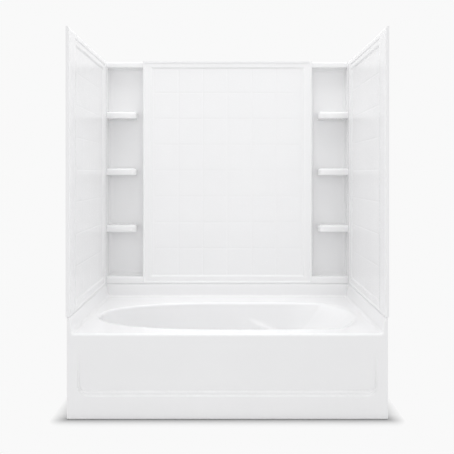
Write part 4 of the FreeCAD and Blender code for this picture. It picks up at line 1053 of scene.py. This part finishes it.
def block(name, outline, low, high, edge, material):
    """A solid with a given outline seen from above, and softened edges."""
    build = bmesh.new()
    base = build.faces.new([build.verts.new((x * MM, y * MM, low * MM)) for x, y in outline])
    lifted = bmesh.ops.extrude_face_region(build, geom=[base])
    verts = [g for g in lifted["geom"] if isinstance(g, bmesh.types.BMVert)]
    bmesh.ops.translate(build, verts=verts, vec=(0, 0, (high - low) * MM))
    bmesh.ops.recalc_face_normals(build, faces=build.faces)
    return softened(placed(name, build, material), edge, BLOCK_SEGMENTS)


def rectangle(x_from, x_to, y_from, y_to):
    return [(x_from, y_from), (x_to, y_from), (x_to, y_to), (x_from, y_to)]


for side, word in SIDES:
    ends = [side * x for x in (PANEL_HALF - OVERLAP, SIDE_X + OVERLAP)]
    for name, line in (("lip", lip_line), ("sill", sill_line)):
        sections = [[(x, y, z) for y, z in line] for x in ends]
        bar = piece(word + "_niche_" + name, [capped(sections)], wall_white, closed=True)
        stands_for(settled(bar), "wall_moulding")
top_plate = block("back_wall_top", rectangle(-PANEL_HALF, PANEL_HALF, PLATE_FRONT, BACK), WALL_TOP - PLATE_THICK,
                  WALL_TOP, PLATE_EDGE, wall_white)
stands_for(settled(top_plate), "wall_moulding")

# %% [markdown]
# ## The end walls
# An end wall is a shallow channel: a return to the stud at the front, the face with its relief, and a return at
# the rear. Its head turns back on a round to the top, where it is screwed to the studs. The right wall is the
# left one's mirror image, with the rows turned round so that its faces still point into the bath.

# %% Plan and head of an end wall
REAR_Y, HEAD_Z, HEAD_LOW = 364.0, 1848.0, 1850.0
END_EDGE, END_SHEET = 5.3, 4.5
FIELD_FRONT, END_TILE, END_COLUMNS = FRONT + 136, 152.25, 4
HEAD_ROUND = ((0.3, 1856), (1.2, 1860), (2.8, 1863), (5.2, 1865.4), (8.0, 1867), (11.0, WALL_TOP))
end_steps = [((FRONT + 98, REAR_Y - 34, FRAME_LOW, HEAD_Z - 8), (26, 9, 9, 9)),
             ((FRONT + 122, REAR_Y - 70, FIELD_LOW, HEAD_Z - 34), (26, 12, 13, 18))]
end_uprights = [FIELD_FRONT + END_TILE * i for i in range(1, END_COLUMNS)]
face_along = marked(FRONT + END_EDGE, REAR_Y - END_EDGE, PANEL_STEP, slopes_of(end_steps, 0), end_uprights)
end_plan = [(FLANGE_X, FRONT)] + arc(SIDE_X + END_EDGE, FRONT + END_EDGE, END_EDGE, -90, -180)
end_plan += [(SIDE_X, y) for y in face_along[1:-1]]
end_plan += arc(SIDE_X + END_EDGE, REAR_Y - END_EDGE, END_EDGE, 180, 90) + [(FLANGE_X, REAR_Y)]
head = [(SIDE_X, z) for z in marked(WALL_LOW, HEAD_LOW, LEVEL_STEP, slopes_of(end_steps, 2), level_joints)]
head += [(SIDE_X + back, z) for back, z in HEAD_ROUND]
print("end wall:", len(end_plan), "points along,", len(head), "up")

# %% [markdown]
# The fixing holes are real holes. A row of drills is taken away from the sheet by a Boolean, which is then
# made plain mesh.

# %% End walls
STUD_HOLES, HOLE_X, HOLE_Z = (-351.3, 258.3), 765, 1858
HOLE_RADIUS, HOLE_SIDES, DRILL_LENGTH = 3.0, 24, 40


def drilled(item, places, axis):
    """Cut round fixing holes along an axis, and keep the result as plain mesh."""
    build = bmesh.new()
    turn = Matrix.Rotation(math.radians(90), 4, "Y" if axis == "X" else "X")
    for place in places:
        bmesh.ops.create_cone(build, cap_ends=True, segments=HOLE_SIDES, radius1=HOLE_RADIUS * MM,
                              radius2=HOLE_RADIUS * MM, depth=DRILL_LENGTH * MM,
                              matrix=Matrix.Translation(Vector(place) * MM) @ turn)
    drill = placed("drill", build)
    mesh = drill.data
    cutter = item.modifiers.new("holes", "BOOLEAN")
    cutter.operation = "DIFFERENCE"
    cutter.solver = "EXACT"
    cutter.object = drill
    settled(item)
    bpy.data.objects.remove(drill)
    bpy.data.meshes.remove(mesh)
    return item


def end_wall(name, side):
    rows = []
    for limit, z in head:
        row = []
        for x, y in end_plan:
            if x == SIDE_X:
                x += relief(y, z, end_steps, end_uprights, END_GROOVE)
            row.append((side * max(x, limit), y, z))
        rows.append(row)
    item = piece(name + "_sheet", [skin(rows if side < 0 else rows[::-1])], wall_white)
    thickened(item, END_SHEET)
    drilled(item, [(side * HOLE_X, y, HOLE_Z) for y in STUD_HOLES], "X")
    return stands_for(item, "wall_moulding", name)


for side, word in SIDES:
    end_wall(word + "_end_wall", side)

# %% [markdown]
# ## Flanges
# Behind the walls the bath's ledge turns up into a thin flange, which is screwed to the studs. It only shows
# from behind, so plain plates are enough, with the two real holes at stud distance in the back one.

# %% Flanges of the bath
FLANGE_LOW, FLANGE_TOP = LEDGE - OVERLAP, 507.0
BACK_FLANGE_X, BACK_FLANGE_Y, BACK_FLANGE_EDGE = 519, 452.5, 0.8
END_FLANGE_X, END_FLANGE_FRONT, END_FLANGE_REAR, END_FLANGE_EDGE = 759.6, -449, 356, 0.6
SCREW_X, SCREW_Y, SCREW_Z = (-203.2, 203.2), 454.75, 497.5
back_outline = rectangle(-BACK_FLANGE_X, BACK_FLANGE_X, BACK_FLANGE_Y, BACK)
back_flange = block("bath_back_flange", back_outline, FLANGE_LOW, FLANGE_TOP, BACK_FLANGE_EDGE, bath_white)
drilled(back_flange, [(x, SCREW_Y, SCREW_Z) for x in SCREW_X], "Y")
stands_for(back_flange, "bath_moulding")
for side, word in SIDES:
    outline = rectangle(side * END_FLANGE_X, side * HALF, END_FLANGE_FRONT, END_FLANGE_REAR)
    flange = block("bath_%s_flange" % word, outline, FLANGE_LOW, FLANGE_TOP, END_FLANGE_EDGE, bath_white)
    stands_for(settled(flange), "bath_moulding")

# %% [markdown]
# ## Seals and clips
# Foam strips fill the joints between the mouldings. Their CAD shape is already right, so they keep it and only
# get the foam finish. At each corner four spring clips grip the two flanges. They are alike and stand one
# above the other, so the tree that stacked the shelves stacks them too.

# %% Seals and clips
SEALS = ("back_ledge_seal", "left_ledge_seal", "right_ledge_seal", "left_corner_seal", "right_corner_seal")
CLIP_LOW, CLIP_HIGH, CLIP_TOP, CLIP_COUNT, CLIP_EDGE = 632.9, 677.9, 1700.1, 4, 0.4
CLIP_RISE = (CLIP_TOP - CLIP_HIGH) / (CLIP_COUNT - 1)
CLIP_LINE = [(759, 357.5), (759, 359), (768, 359), (768, 372), (759, 372), (759, 373.5), (769.5, 373.5),
             (769.5, 357.5)]
for name in SEALS:
    frame["nodes"][name].data.materials.clear()
    frame["nodes"][name].data.materials.append(seal_foam)
for side, word in SIDES:
    outline = [(side * x, y) for x, y in CLIP_LINE]
    clip = block(word + "_spring_clips", outline, CLIP_LOW, CLIP_HIGH, CLIP_EDGE, zinc)
    stacked(clip, CLIP_COUNT, (0, 0, CLIP_RISE), zinc)
    stands_for(settled(clip), "clip_steel", word + "_corner_clips")

# %% [markdown]
# ## Base, waste and trip lever
# These pieces are turned, cut and bent shapes, and the CAD solids already have their real form. A solid has
# knife-sharp edges, though, and no real piece has. So each is copied, its loose triangles are joined, its edges
# are rounded by about as much as the material takes, and it gets the finish of its material. The lever and the
# plunger ride on their own bodies, so that they move.

# %% Copies of CAD pieces
SOLID_JOIN, FLAT, COPY_SEGMENTS = 0.005, math.radians(0.5), 2
FINISHES = [
    (plywood, "base_timber", 0.8, ("base_board",)),
    (softwood, "base_timber", 1.5, ("base_bearers",)),
    (chrome, "bright_trim", 0.4, ("drain_strainer", "strainer_grid", "grid_screw", "overflow_plate",
                                  "plate_screws", "trip_lever")),
    (black_rubber, "gasket_rubber", 0.3, ("shoe_gasket", "overflow_gasket")),
    (pipe_white, "pipe_plastic", 0.6, ("drain_shoe", "shoe_tube", "waste_tee", "tail_piece", "overflow_pipe",
                                       "slip_nuts", "overflow_elbow")),
    (zinc, "clip_steel", 0.3, ("lever_bracket", "lever_pin")),
    (brass, "link_brass", 0.3, ("linkage_rod", "plunger")),
]


def copied(name, source, material, edge):
    """A joined copy of a CAD node with softened edges."""
    build = bmesh.new()
    build.from_mesh(frame["nodes"][source].data)
    bmesh.ops.remove_doubles(build, verts=build.verts, dist=SOLID_JOIN * MM)
    bmesh.ops.dissolve_limit(build, angle_limit=FLAT, verts=build.verts[:], edges=build.edges[:])
    return settled(softened(placed(name, build, material), edge, COPY_SEGMENTS))


def body_of(node):
    return next(body for body, members in frame["record"]["behaviour"]["bodies"].items() if node in members)


for material, slot, edge, nodes in FINISHES:
    for node in nodes:
        stands_for(copied(node + "_finished", node, material, edge), slot, node, body=body_of(node))
